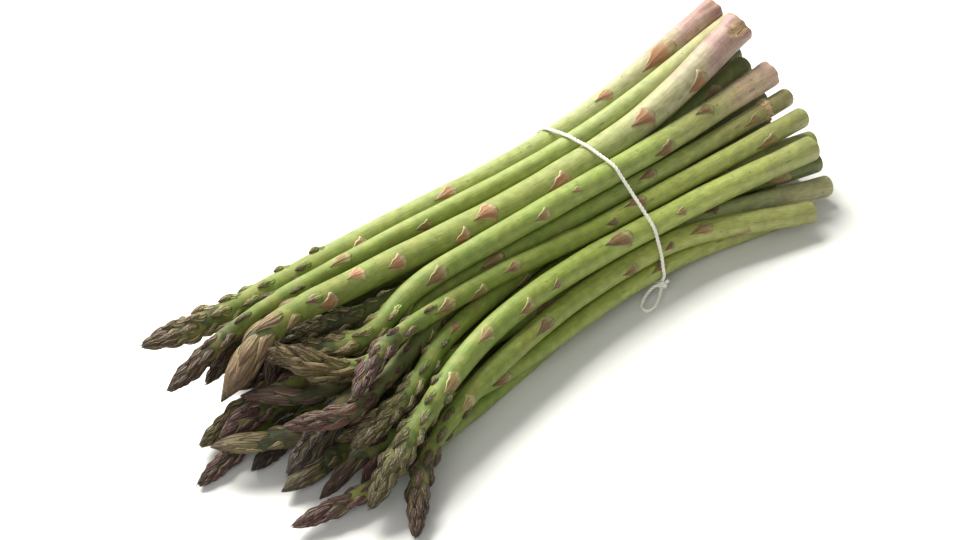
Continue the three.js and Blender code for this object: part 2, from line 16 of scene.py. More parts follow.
import bpy
import numpy as np
from mathutils import Matrix, Vector
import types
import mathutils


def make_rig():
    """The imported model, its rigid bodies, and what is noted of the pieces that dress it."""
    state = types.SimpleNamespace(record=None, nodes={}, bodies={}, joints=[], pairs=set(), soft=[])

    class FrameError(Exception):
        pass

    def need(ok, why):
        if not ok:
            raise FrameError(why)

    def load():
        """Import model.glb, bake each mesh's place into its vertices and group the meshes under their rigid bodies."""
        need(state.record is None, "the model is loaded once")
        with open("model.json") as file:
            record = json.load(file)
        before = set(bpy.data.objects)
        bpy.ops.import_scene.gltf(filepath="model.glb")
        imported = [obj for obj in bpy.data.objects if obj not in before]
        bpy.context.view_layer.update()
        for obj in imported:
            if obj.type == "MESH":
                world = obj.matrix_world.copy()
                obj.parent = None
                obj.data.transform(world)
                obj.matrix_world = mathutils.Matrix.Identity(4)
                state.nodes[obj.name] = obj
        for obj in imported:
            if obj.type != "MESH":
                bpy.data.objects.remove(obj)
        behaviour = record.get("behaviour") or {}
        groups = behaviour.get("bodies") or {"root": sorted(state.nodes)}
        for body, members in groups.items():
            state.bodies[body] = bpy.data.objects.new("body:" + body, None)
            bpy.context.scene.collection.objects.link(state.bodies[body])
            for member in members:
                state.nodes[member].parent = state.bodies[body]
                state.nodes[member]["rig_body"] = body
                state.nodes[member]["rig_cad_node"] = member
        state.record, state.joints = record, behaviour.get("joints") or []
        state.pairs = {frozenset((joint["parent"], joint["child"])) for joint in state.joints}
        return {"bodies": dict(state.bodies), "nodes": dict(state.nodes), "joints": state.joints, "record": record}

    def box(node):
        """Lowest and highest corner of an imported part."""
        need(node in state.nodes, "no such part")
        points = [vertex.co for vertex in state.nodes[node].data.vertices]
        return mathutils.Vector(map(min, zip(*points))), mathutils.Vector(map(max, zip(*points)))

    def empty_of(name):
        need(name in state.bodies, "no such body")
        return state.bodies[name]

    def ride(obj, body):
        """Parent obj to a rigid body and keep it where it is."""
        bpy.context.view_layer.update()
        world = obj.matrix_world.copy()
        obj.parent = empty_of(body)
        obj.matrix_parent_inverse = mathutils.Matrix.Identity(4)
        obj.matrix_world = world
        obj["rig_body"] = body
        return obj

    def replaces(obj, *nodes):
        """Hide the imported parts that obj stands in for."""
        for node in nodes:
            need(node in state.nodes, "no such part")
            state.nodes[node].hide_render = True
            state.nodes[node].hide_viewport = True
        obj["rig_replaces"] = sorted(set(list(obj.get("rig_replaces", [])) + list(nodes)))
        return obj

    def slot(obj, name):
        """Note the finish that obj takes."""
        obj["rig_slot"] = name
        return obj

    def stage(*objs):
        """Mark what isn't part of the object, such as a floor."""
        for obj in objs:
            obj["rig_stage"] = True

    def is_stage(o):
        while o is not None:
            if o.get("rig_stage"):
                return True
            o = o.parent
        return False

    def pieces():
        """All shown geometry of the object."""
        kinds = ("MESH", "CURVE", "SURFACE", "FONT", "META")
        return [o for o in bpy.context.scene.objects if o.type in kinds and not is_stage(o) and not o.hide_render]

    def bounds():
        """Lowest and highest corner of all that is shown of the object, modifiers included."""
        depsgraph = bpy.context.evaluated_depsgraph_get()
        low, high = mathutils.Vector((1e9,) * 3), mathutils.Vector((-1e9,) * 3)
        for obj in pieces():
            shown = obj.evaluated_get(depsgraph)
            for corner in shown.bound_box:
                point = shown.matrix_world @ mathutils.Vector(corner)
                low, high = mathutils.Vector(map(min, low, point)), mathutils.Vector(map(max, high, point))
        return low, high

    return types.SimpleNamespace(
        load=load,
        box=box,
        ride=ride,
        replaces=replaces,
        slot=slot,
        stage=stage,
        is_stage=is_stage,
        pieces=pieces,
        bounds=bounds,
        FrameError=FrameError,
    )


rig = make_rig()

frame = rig.load()
CAD_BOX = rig.bounds()

log = logging.getLogger("bundle")

Triple = tuple[float, float, float]
Colour = tuple[float, float, float]
Table = tuple[tuple[float, float], ...]
Stops = tuple[tuple[float, Colour], ...]
Face = tuple[int, ...]
Array = np.ndarray
Socket = bpy.types.NodeSocket
Material = bpy.types.Material
Node = bpy.types.Node
Tree = bpy.types.NodeTree
Piece = bpy.types.Object
Inputs = Sequence[object] | Mapping[int | str, object]

MM = 0.001
FULL_TURN = 2.0 * math.pi
NUDGE = 1e-4  # a curve's direction is measured this far to each side
SPIRAL_DEGREES = 137.5  # from one bract or scale to the next, round a spear


# ---- driving dimensions

CENTRE = (-42.5, -6.1)  # middle of the laid-out bundle's box, moved to the origin
SIDES = 8  # flat sides of a spear in the frame
HEAD_LENGTH = 36.0  # closed scales, from the neck to the point
SCALE_LIFT = 0.75  # height of a scale's free point
SCALES_FROM = 2.0  # where the scales take up room, past the neck
SCALE_PRESS = 0.9  # share of a scale's height that keeps its neighbours off
TIE_X = -4.0  # plane of the string's turn
STRING_RADIUS = 0.6
CLEARANCE = 0.3  # between the string and the spears
STEM_GAP = 0.42  # between two spears that lie against each other
FLOOR_GAP = 0.02  # no point of a piece lies lower

# Girth of a stem from the butt to the neck, as shares of its radius.
GIRTH = ((0.0, 1.1), (0.145, 1.04), (0.54, 1.0), (0.84, 0.92), (1.0, 0.82))
# Girth of a head from the neck to the point, as shares of the neck.
HEAD_GIRTH = (
    (0.0, 1.0), (0.15, 1.08), (0.38, 1.22), (0.6, 1.16), (0.78, 0.9), (0.9, 0.58), (1.0, 0.22),
)


class HeadForm(Enum):
    """How a head's scales stand."""

    CLOSED = "closed"  # short scales that lie close, like a cone's
    SHEATHED = "sheathed"  # long smooth scales round a short point
    LONG = "long"  # long smooth scales all the way
    BUDDED = "budded"  # short scales with a bud above each
    OPEN = "open"  # long narrow scales whose points stand apart


class HeadTone(Enum):
    """Colour of a head. The brown, purple and dark tones are darker than a head's own colour in part, as painted shade
    for heads that lie under others.
    """

    OLIVE = "olive"
    SMOKED = "smoked"  # olive, and dark brown at the point
    GREEN = "green"
    TAN = "tan"
    BROWN = "brown"
    RUST = "rust"
    PURPLE = "purple"
    DARK = "dark"


class StemTone(Enum):
    """Colour of a stem."""

    BLUSHED = "blushed"  # pinkish white at the butt
    ROSY = "rosy"  # pink at the cut only
    PALE = "pale"
    GREEN = "green"
    OLIVE = "olive"
    DEEP = "deep"  # dark green, and brownish near the head


@dataclass(frozen=True)
class SpearPlan:
    """One spear before it is settled."""

    girth: float  # radius of the stem
    butt: Triple  # point of the middle line at the cut
    tie: tuple[float, float]  # where that line crosses the string's plane, as (y, z)
    via: Triple  # point of the middle line between the string and the neck
    neck: Triple  # point of it where the head begins
    tip: Triple  # the head's point
    head: HeadTone  # colour of the head
    form: HeadForm = HeadForm.CLOSED  # how its scales stand
    stem: StemTone = StemTone.GREEN  # colour of the stem
    # Where bracts stand: distance from the butt, degrees from the top to the front, and size
    # where it isn't 1. A spear without that list follows a rule.
    bracts: tuple[tuple[float, ...], ...] = ()
    slant: float = 0.0  # how much further back the cut is on its upper front side
    torn: float = 0.0  # how far from the butt the skin has split
    # A hollow where the fibres show: distance from the butt, degrees, half its length and width.
    wound: tuple[float, ...] = ()
    early: float = 0.0  # how much sooner than in the head's usual form the scales begin


CLOSED, SHEATHED, LONG, BUDDED, OPEN = HeadForm
(OLIVE_HEAD, SMOKED_HEAD, GREEN_HEAD, TAN_HEAD,
 BROWN_HEAD, RUST_HEAD, PURPLE_HEAD, DARK_HEAD) = HeadTone
BLUSHED, ROSY, PALE, GREEN, OLIVE, DEEP = StemTone

SPEARS: tuple[SpearPlan, ...] = (
    # upper layer, from the back to the front
    SpearPlan(4.1, (83, 19, 48), (17, 36.5), (-81, 29, 31), (-138, 35, 29), (-157, 42, 27),
              SMOKED_HEAD, BUDDED, BLUSHED, ((25, 34, 1.5), (58, 15), (95, 200), (128, 35), (164, 70)),
              early=21.0),
    SpearPlan(3.3, (83, 9, 48), (9.5, 38.5), (-86, 22, 33.5), (-132, 26, 31), (-161, 27, 22),
              BROWN_HEAD, CLOSED, PALE, ((40, 200), (100, 230), (145, 75), (175, 10)), early=12.0),
    SpearPlan(4.9, (77, 6, 50), (0.5, 35), (-98, 10, 36), (-130, 14, 34), (-152, 12, 21),
              TAN_HEAD, LONG, BLUSHED, ((27, 80), (53, 35), (72, 210), (94, 70), (124, 25), (137, 75),
              (162, 55), (176, 15), (188, 80)), slant=1.8, wound=(5.2, 34, 6.2, 3.9)),
    SpearPlan(4.0, (78, -10, 37), (-6.5, 31), (-84, -3, 29), (-108, -4, 23), (-132, 14, 19),
              OLIVE_HEAD, BUDDED, ROSY, ((32, 20), (54, 85), (82, 200), (97, 40, 0.5), (111, 65),
              (132, 220), (154, 60), (168, 190)), slant=1.0),
    SpearPlan(3.0, (78, -18, 31), (-11.8, 27), (-76, -4, 25), (-120, -9.5, 21), (-138, 6.5, 31),
              OLIVE_HEAD, OPEN, OLIVE, ((16, 60), (65, 30), (98, 180), (131, 40), (152, 250),
              (172, 30)), torn=12.0),
    SpearPlan(3.3, (77, -25, 26), (-16.5, 23.8), (-81, -9, 25), (-112, -13, 26), (-133, -21, 21),
              PURPLE_HEAD, CLOSED, GREEN, ((16, 80), (48, 200), (75, 20), (89, 62, 0.5), (104, 290),
              (130, 45), (144, 100), (158, 60))),
    SpearPlan(4.0, (72, -30, 19), (-20, 20.5), (-73, -22, 22), (-121, -33, 17), (-146, -40, 7),
              GREEN_HEAD, BUDDED, GREEN, ((38, 250), (60, 55, 0.5), (84, 35), (108, 180),
              (118, 60, 0.55), (131, 75), (151, 30), (172, 60))),
    SpearPlan(3.5, (57, -44, 6), (-23.5, 13), (-73, -28, 15), (-122, -38, 12), (-143, -54, 5),
              BROWN_HEAD, BUDDED, GREEN, ((25, 120), (40, 35), (57, 60, 0.5), (74, 85), (95, 220),
              (116, 45), (140, 190), (158, 60))),
    SpearPlan(2.9, (50, -37, 3), (-25.6, 8), (-72, -27.5, 10), (-128, -22, 13), (-151, -24, 7),
              BROWN_HEAD, SHEATHED, GREEN),
    SpearPlan(2.9, (62, -28, 3.5), (-22.5, 4.4), (-68, -27.5, 6), (-135, -33, 7), (-163, -26, 5),
              PURPLE_HEAD, CLOSED, GREEN, ((30, 200), (79, 100), (120, 20), (150, 160), (172, 60))),
    # third layer
    SpearPlan(3.6, (76, 0, 37), (-0.5, 27), (-91, 5, 26), (-112, 11, 26), (-130, 19, 26),
              GREEN_HEAD, BUDDED, DEEP),
    SpearPlan(3.8, (82, 9, 36), (8.5, 28), (-80, 17, 24), (-115, 26, 20), (-134, 14, 9),
              BROWN_HEAD, CLOSED, DEEP),
    SpearPlan(3.8, (80, 20, 35), (18.5, 27.5), (-80, 27, 24), (-120, 31, 22), (-146, 26, 15),
              BROWN_HEAD, CLOSED, PALE),
    # second layer
    SpearPlan(3.3, (79, -31, 17), (-11, 20), (-87, -13, 20), (-112, -19, 18), (-142, -22.5, 17),
              GREEN_HEAD, BUDDED, GREEN, early=8.0),
    SpearPlan(3.2, (79, -7, 25), (-2.8, 20), (-80, -6, 20), (-132, -18, 18), (-149.5, -8, 17),
              RUST_HEAD, BUDDED, DEEP, early=26.0),
    SpearPlan(3.3, (84, 6, 24), (6, 20), (-80, 3, 19), (-125, -7, 15), (-145, 10, 15),
              BROWN_HEAD, SHEATHED, DEEP, early=10.0),
    SpearPlan(4.0, (80, 18, 24), (15.5, 20.5), (-80, 22, 18), (-118, 26, 18), (-138, 20, 14),
              DARK_HEAD, CLOSED, DEEP),
    SpearPlan(3.4, (75, -38, 6), (-16, 12.8), (-100, -18, 17), (-113, -23, 15), (-136, -17, 12),
              OLIVE_HEAD, BUDDED, PALE),
    SpearPlan(4.3, (77, -11, 15), (-6.5, 12.8), (-80, -9, 13), (-126, -8, 14), (-155, -13, 8),
              DARK_HEAD, CLOSED, DEEP),
    SpearPlan(3.6, (83, 3, 15), (2.8, 12.8), (-80, 0, 13), (-133, -9, 12), (-161, 8, 12),
              OLIVE_HEAD, SHEATHED, DEEP),
    SpearPlan(4.2, (78, 14, 15), (12, 12.8), (-80, 10, 13), (-128, 9, 16), (-156, 11, 9),
              PURPLE_HEAD, CLOSED, GREEN),
    SpearPlan(3.9, (80, 26, 15), (21.5, 12.8), (-70, 27, 13), (-105, 31, 13), (-134, 33, 10),
              BROWN_HEAD, BUDDED, GREEN),
    SpearPlan(3.2, (77, -33, 12), (-15, 16.5), (-85, -12, 15), (-115, -8, 12), (-140, -3, 11),
              DARK_HEAD, CLOSED, DEEP, ((14, 90), (50, 220), (84, 30), (120, 160), (150, 40))),
    # lowest layer
    SpearPlan(3.7, (78, -21, 6), (-15.5, 5.3), (-80, -20, 6), (-118, -20, 12), (-140, -31, 8),
              PURPLE_HEAD, SHEATHED, GREEN),
    SpearPlan(4.0, (82, -12, 6), (-7.8, 5.3), (-80, -14, 5), (-126, -17, 6), (-155, -17, 6),
              GREEN_HEAD, SHEATHED, GREEN),
    SpearPlan(3.7, (76, -3, 6), (0.7, 5.3), (-80, -5, 5), (-126, -4, 8), (-155, -8, 6),
              DARK_HEAD, CLOSED, GREEN),
    SpearPlan(3.0, (84, 8, 6), (8.3, 5.3), (-80, 4, 5), (-136, 3, 7), (-169, 1, 4),
              PURPLE_HEAD, CLOSED, PALE),
    SpearPlan(3.7, (79, 18, 6), (16, 5.3), (-80, 14, 5), (-130, 17, 10), (-159, 16, 7),
              OLIVE_HEAD, CLOSED, GREEN),
    SpearPlan(3.8, (82, 29, 6), (24.3, 5.3), (-70, 29, 5), (-104, 31, 6), (-133, 30, 5),
              BROWN_HEAD, BUDDED, GREEN),
)


# ---- small helpers

def read_table(table: Table, place: Array | float) -> Array:
    """Reads a table of (place, value) rows at places, with straight stretches between rows."""
    places, values = np.array(table).T
    return np.interp(place, places, values)


def ease(share: Array | float) -> Array:
    """Turns a share into one that starts and ends gently."""
    held = np.clip(share, 0.0, 1.0)
    return held * held * (3.0 - 2.0 * held)


def unit(vectors: Array) -> Array:
    """Scales vectors to length 1."""
    return vectors / np.linalg.norm(vectors, axis=-1, keepdims=True)


def turn_from(start: float, angle: Array) -> Array:
    """Radians from a start to an angle, the short way round."""
    return (angle - start + math.pi) % FULL_TURN - math.pi


def round_angles(count: int) -> Array:
    """Evenly spaced angles of one full turn."""
    return np.linspace(0.0, FULL_TURN, count, endpoint=False)


@dataclass
class SmoothCurve:
    """A smooth curve through points, read by the share of its length."""

    points: Array  # the points that it passes through
    closed: bool = False  # whether it comes back to its first point
    divisions: int = 400  # straight stretches that its length is measured with
    lengths: Array = field(init=False)  # length from the start to the end of each stretch

    def __post_init__(self) -> None:
        """Measures the curve once."""
        samples = self._at(np.linspace(0.0, 1.0, self.divisions + 1))
        steps = np.linalg.norm(np.diff(samples, axis=0), axis=1)
        self.lengths = np.concatenate([[0.0], np.cumsum(steps)])

    @property
    def length(self) -> float:
        """Length of the curve."""
        return float(self.lengths[-1])

    def _around(self, index: Array) -> list[Array]:
        """Finds the given points round each span.

        Args:
            index: Numbers of the spans.

        Returns:
            The point before each span, its two ends, and the point after it.
        """
        if self.closed:
            return [self.points[(index + k) % len(self.points)] for k in (-1, 0, 1, 2)]
        first = 2.0 * self.points[0] - self.points[1]
        last = 2.0 * self.points[-1] - self.points[-2]
        padded = np.vstack([first, self.points, last])
        return [padded[index + k] for k in (0, 1, 2, 3)]

    def _at(self, places: Array) -> Array:
        """Reads the curve at places counted evenly from one given point to the next.

        Args:
            places: Places from 0 to 1.

        Returns:
            Points of the curve.
        """
        spans = len(self.points) if self.closed else len(self.points) - 1
        whole = np.clip(places * spans, 0.0, spans)
        index = np.minimum(whole.astype(int), spans - 1)
        share = (whole - index)[:, None]
        p0, p1, p2, p3 = self._around(index)
        d0, d1, d2 = (
            np.sqrt(np.linalg.norm(b - a, axis=1))[:, None] for a, b in ((p0, p1), (p1, p2), (p2, p3))
        )
        t1 = ((p1 - p0) / d0 - (p2 - p0) / (d0 + d1) + (p2 - p1) / d1) * d1
        t2 = ((p2 - p1) / d1 - (p3 - p1) / (d1 + d2) + (p3 - p2) / d2) * d1
        square = share * share
        return (
            p1 + t1 * share + (3.0 * (p2 - p1) - 2.0 * t1 - t2) * square
            + (2.0 * (p1 - p2) + t1 + t2) * square * share
        )

    def _place(self, shares: Array) -> Array:
        """Turns shares of the length into places between the given points."""
        return np.interp(shares * self.length, self.lengths, np.linspace(0.0, 1.0, self.divisions + 1))

    def at(self, shares: Array) -> Array:
        """Points at shares of the length."""
        return self._at(self._place(shares))

    def forward(self, shares: Array) -> Array:
        """Directions at shares of the length."""
        place = self._place(shares)
        return unit(self._at(np.minimum(place + NUDGE, 1.0)) - self._at(np.maximum(place - NUDGE, 0.0)))


# ---- laying the spears

@dataclass
class LaidSpear:
    """A spear's middle line and its girth."""

    plan: SpearPlan  # what the spear is
    number: int  # its number in the bundle, from 1
    joints: Array  # points of its middle line at equal steps
    line: SmoothCurve  # the curve through them
    length: float  # length of the middle line

    @classmethod
    def first_laid(cls, plan: SpearPlan, number: int, joint_count: int) -> "LaidSpear":
        """Lays a spear on its planned points.

        Args:
            plan: The spear as planned.
            number: Its number in the bundle.
            joint_count: Stretches between its joints.

        Returns:
            The spear, in the layout.
        """
        through = np.array([plan.butt, (0.0, *plan.tie), plan.via, plan.neck, plan.tip], float)
        line = SmoothCurve(through)
        joints = line.at(np.linspace(0.0, 1.0, joint_count + 1))
        return cls(plan, number, joints, line, line.length)

    @property
    def neck(self) -> float:
        """Distance from the butt to the neck."""
        return self.length - HEAD_LENGTH

    def radius(self, along: Array | float) -> Array:
        """Reads the spear's radius.

        Args:
            along: Distances from the butt.

        Returns:
            Radii, without swellings or scales.
        """
        along = np.asarray(along, float)
        stem = read_table(GIRTH, along / self.neck)
        head = read_table(GIRTH, 1.0) * read_table(HEAD_GIRTH, (along - self.neck) / HEAD_LENGTH)
        return self.plan.girth * np.where(along <= self.neck, stem, head)

    def reach(self, along: Array) -> Array:
        """Room taken round the middle line, with the scales on the head."""
        scales = np.where(along > self.neck + SCALES_FROM, SCALE_LIFT * SCALE_PRESS, 0.0)
        return self.radius(along) + scales


@dataclass
class Settling:
    """Presses the spears apart until none overlaps, lets them sink, and keeps them smooth."""

    joints: int = 30  # stretches between the joints of a spear
    rounds: int = 220  # rounds in which the spears are also held and sink
    closing: int = 200  # rounds at the end, in which they only press apart
    refresh: int = 25  # rounds after which neighbours are looked for again
    far: float = 16.0  # how near two spears are to be looked at
    stretch: float = 4.0  # how much further off a stretch's own start may be
    touching: float = 1e-6  # middle lines nearer than this have no direction to be pushed in
    push: float = 1.3  # share of an overlap that is undone in a round
    hold: float = 0.012  # share by which a joint is drawn to where it was laid
    sink: float = 0.018  # how far a joint sinks in a round
    stiffness: float = 0.3  # how strongly a spear keeps its own bend
    closing_stiffness: float = 0.09  # the same in the closing rounds
    tie_reach: float = 14.0  # how near the string's plane the spears keep above the string
    tie_height: float = 2 * STRING_RADIUS + CLEARANCE + 0.15  # how high they lie there
    flatten: float = 0.1  # how far the lowest spears are pressed flat elsewhere

    def _neighbours(self, lines: Array) -> tuple[Array, ...]:
        """Finds the joints of one spear and stretches of another that can come to touch.

        Args:
            lines: The joints of every spear.

        Returns:
            Numbers of the first spears, their joints, the other spears and their stretches.
        """
        _, joints, _ = lines.shape
        points = lines.reshape(-1, 3)
        starts = lines[:, :-1].reshape(-1, 3)
        apart = points[:, None] - starts[None]
        near = np.abs(apart[..., 0]) < self.far
        near &= np.linalg.norm(apart, axis=2) < self.far + self.stretch
        p, s = np.nonzero(near)
        i, k = np.divmod(p, joints)
        j, m = np.divmod(s, joints - 1)
        other = i != j
        return i[other], k[other], j[other], m[other]

    def _push_apart(self, lines: Array, reach: Array, pairs: tuple[Array, ...]) -> tuple[Array, Array]:
        """Adds up the pushes of all contacts.

        Args:
            lines: The joints of every spear.
            reach: Room taken round each joint.
            pairs: The neighbours.

        Returns:
            How far each joint is pushed, and how many contacts push it.
        """
        i, k, j, m = pairs
        p, a, b = lines[i, k], lines[j, m], lines[j, m + 1]
        ab = b - a
        t = np.clip(((p - a) * ab).sum(1) / (ab * ab).sum(1), 0.0, 1.0)
        away = p - a - ab * t[:, None]
        distance = np.linalg.norm(away, axis=1)
        wanted = reach[i, k] + reach[j, m] * (1.0 - t) + reach[j, m + 1] * t + STEM_GAP
        touch = (distance < wanted) & (distance > self.touching)
        i, k, j, m, t = (x[touch] for x in (i, k, j, m, t))
        move = away[touch] * (0.5 * (wanted[touch] - distance[touch]) / distance[touch])[:, None]
        by = np.zeros_like(lines)
        count = np.zeros(lines.shape[:2])
        contacts = (((i, k), np.ones_like(t), 1.0), ((j, m), 1.0 - t, -1.0), ((j, m + 1), t, -1.0))
        for at, share, sign in contacts:
            np.add.at(by, at, sign * move * share[:, None])
            np.add.at(count, at, share)
        return by, count

    @staticmethod
    def _unbend(lines: Array, first: Array, stiffness: float) -> Array:
        """Evens out how far neighbouring joints have moved, so that spears keep their bend.

        Args:
            lines: The joints of every spear.
            first: The same as they were laid.
            stiffness: Share of the difference that goes.

        Returns:
            The joints after it.
        """
        shift = lines - first
        before = np.concatenate([shift[:, :1], shift[:, :-1]], axis=1)
        after = np.concatenate([shift[:, 1:], shift[:, -1:]], axis=1)
        return lines + (0.5 * (before + after) - shift) * stiffness

    def run(self, plans: Iterable[SpearPlan]) -> list[LaidSpear]:
        """Settles the spears.

        Args:
            plans: The spears as planned.

        Returns:
            The spears as they lie, in the frame.
        """
        spears = [LaidSpear.first_laid(plan, n + 1, self.joints) for n, plan in enumerate(plans)]
        first = np.array([spear.joints for spear in spears])
        steps = np.arange(self.joints + 1) / self.joints
        reach = np.array([spear.reach(spear.length * steps) for spear in spears])
        lines = first.copy()
        pairs = self._neighbours(lines)
        for turn in range(self.rounds + self.closing):
            closing = turn >= self.rounds
            if turn % self.refresh == 0:
                pairs = self._neighbours(lines)
            by, count = self._push_apart(lines, reach, pairs)
            lines = lines + by * (self.push / np.maximum(count, 1.0))[..., None]
            if not closing:
                lines = lines + (first - lines) * self.hold
                lines[..., 2] -= self.sink
            lines = self._unbend(lines, first, self.closing_stiffness if closing else self.stiffness)
            near_tie = np.abs(lines[..., 0]) < self.tie_reach
            floor = np.where(near_tie, self.tie_height, -self.flatten)
            lines[..., 2] = np.maximum(lines[..., 2], reach * math.cos(math.pi / SIDES) + floor)
        lines[..., :2] -= CENTRE
        for spear, joints in zip(spears, lines):
            spear.joints = joints
            spear.line = SmoothCurve(joints, divisions=600)
            spear.length = spear.line.length
        return spears


# ---- meshes

class Part(Enum):
    """What a face belongs to, which gives its material."""

    SKIN = 0
    BRACT = 1
    SCALE = 2
    CUT = 3
    HUSK = 4


@dataclass
class MeshSketch:
    """Collects points and faces in millimetres, and makes one mesh of them."""

    points: list[Array] = field(default_factory=list)  # blocks of points
    faces: list[Face] = field(default_factory=list)  # faces as tuples of point numbers
    parts: list[int] = field(default_factory=list)  # the part of each face
    values: dict[str, list[Array]] = field(default_factory=dict)  # each point's named values
    count: int = 0  # how many points there are

    def add(self, points: Array, faces: Iterable[Face], part: Part, **values: Array | float) -> None:
        """Adds a block of points and its faces.

        Args:
            points: The points, in rows of three.
            faces: Faces, numbered within the block.
            part: What they belong to.
            **values: Named values of the points. lay has three numbers, and the others one.
        """
        flat = points.reshape(-1, 3)
        start = len(self.faces)
        self.faces.extend(tuple(int(v) + self.count for v in face) for face in faces)
        self.parts.extend([part.value] * (len(self.faces) - start))
        self.points.append(flat)
        for name, value in values.items():
            shape, width = (points.shape, 3) if name == "lay" else (points.shape[:-1], 1)
            block = np.broadcast_to(np.asarray(value, float), shape)
            self.values.setdefault(name, []).append(block.reshape(-1, width))
        self.count += len(flat)

    def to_object(self, name: str, materials: Sequence[Material]) -> Piece:
        """Makes the object.

        Args:
            name: Name of the object.
            materials: One material for each part, in order.

        Returns:
            The object, in metres and in the frame.
        """
        mesh = bpy.data.meshes.new(name)
        points = np.vstack(self.points)
        points[:, 2] = np.maximum(points[:, 2], FLOOR_GAP)
        mesh.from_pydata((points * MM).tolist(), [], self.faces)
        mesh.polygons.foreach_set("material_index", self.parts)
        for key, blocks in self.values.items():
            block = np.vstack(blocks)
            kind, slot = ("FLOAT_VECTOR", "vector") if block.shape[1] == 3 else ("FLOAT", "value")
            mesh.attributes.new(key, kind, "POINT").data.foreach_set(slot, block.ravel())
        for material in materials:
            mesh.materials.append(material)
        mesh.shade_smooth()
        mesh.update()
        piece = bpy.data.objects.new(name, mesh)
        bpy.context.scene.collection.objects.link(piece)
        return piece


def turned(faces: Iterable[Face]) -> list[Face]:
    """Turns faces to their other side."""
    return [tuple(reversed(face)) for face in faces]


def grid_faces(rows: int, columns: int, wrapped: bool = False) -> list[Face]:
    """Makes the faces of a grid of points.

    Args:
        rows: Rows of points.
        columns: Points in a row.
        wrapped: Whether a row's last point is joined to its first.

    Returns:
        Four-sided faces, outward where rows run forward and columns run from the top to the front.
    """
    across = columns if wrapped else columns - 1
    return [
        (r * columns + c, (r + 1) * columns + c,
         (r + 1) * columns + (c + 1) % columns, r * columns + (c + 1) % columns)
        for r in range(rows - 1)
        for c in range(across)
    ]


def shell_faces(rows: int, columns: int) -> list[Face]:
    """Makes the faces of a thin closed leaf.

    Args:
        rows: Rows of points, from its base to its point.
        columns: Points in a row.

    Returns:
        Faces of its upper grid, of its lower grid and of the rim between them.
    """
    size = rows * columns
    upper = grid_faces(rows, columns)
    lower = turned([tuple(size + v for v in face) for face in upper])
    edge = list(range(columns))
    edge += [r * columns + columns - 1 for r in range(1, rows)]
    edge += [(rows - 1) * columns + c for c in range(columns - 2, -1, -1)]
    edge += [r * columns for r in range(rows - 2, 0, -1)]
    rim = [(b + size, a + size, a, b) for a, b in zip(edge, edge[1:] + edge[:1])]
    return upper + lower + rim


# ---- a spear

@dataclass(frozen=True)
class LeafShape:
    """Sizes of a bract or a scale."""

    length: float  # from its base to its point
    half_width: float  # half its width, along the stem's surface
    lift: float  # height of its point
    crown: float  # how far its middle stands above its edges
    thickness: float = 0.14  # thickness of the leaf
    widest: float = 0.22  # share of the length where it is widest
    taper: float = 0.9  # how the sides close: 1 is straight, and less is rounder
    tuck: float = 0.3  # how much lower its edges lie than its middle, as a share of its height
    ragged: float = 0.0  # how uneven its sides are, as a share of its width
    base: float = 0.72  # width of its base, as a share of its widest
    end: float = 0.03  # width of its point, as a share of its widest
    round_base: float = 0.16  # how far its base's sides run to its point, as a share of its length
    crest: float = 0.72  # share of the length where it is highest
    droop: float = 0.25  # share of its height that its point comes down again

    def half(self, t: Array) -> Array:
        """Finds half the leaf's width.

        Args:
            t: Share of the leaf's length.

        Returns:
            Millimetres.
        """
        opening = self.base + (1.0 - self.base) * ease(t / self.widest)
        past = ((t - self.widest) / (1.0 - self.widest)).clip(0.0)
        closing = np.clip(1.0 - past, 0.0, 1.0) ** self.taper
        return self.half_width * opening * np.maximum(closing, self.end)

    def height(self, t: Array, u: Array) -> Array:
        """Finds the height of its upper face above what it lies on.

        Args:
            t: Share of the leaf's length.
            u: Share of the way from its middle to its sides.

        Returns:
            Millimetres.
        """
        past = 1.0 - self.droop * (t - self.crest) / (1.0 - self.crest)
        rise = np.minimum(np.where(t < self.crest, ease(t / (2.0 * self.crest)) * 2.0, past), 1.0)
        arch = self.crown * (1.0 - u * u) * np.sin(math.pi * np.clip(t * 0.86 + 0.1, 0.0, 1.0))
        return self.lift * rise * (1.0 - self.tuck * u * u) + arch


@dataclass(frozen=True)
class HeadShape:
    """How a head's scales stand, as tables over the distance that is left to the point."""

    zone: float  # from the first scale to the point
    step: Table  # from one scale to the next
    length: Table  # length of the scales
    half_width: Table  # half their width, as a share of the head's radius there
    lift: Table  # height of their points
    crown: float  # how far their middles stand above their edges
    bud: float = 0.0  # girth of the bud above each scale, as a share of the head's radius
    bud_from: float = 4.0  # buds stand only where more than this is left to the point
    splay: float = 0.0  # how far the buds' points stand off
    spread: float = 0.0  # how much longer and higher the scales are that face down and to the front
    widest: float = 0.3  # share of the length where a scale is widest
    taper: float = 0.85  # how its sides close
    rows: int = 9  # points from its base to its point
    last: float = 2.6  # no scale begins nearer to the point
    loose: float = 0.25  # how unevenly the scales are turned round the head, in radians

    def facing(self, angle: float) -> float:
        """How much longer and higher than usual a scale is that stands at an angle."""
        return 1.0 + self.spread * max(math.cos(angle - math.radians(105.0)), 0.0)


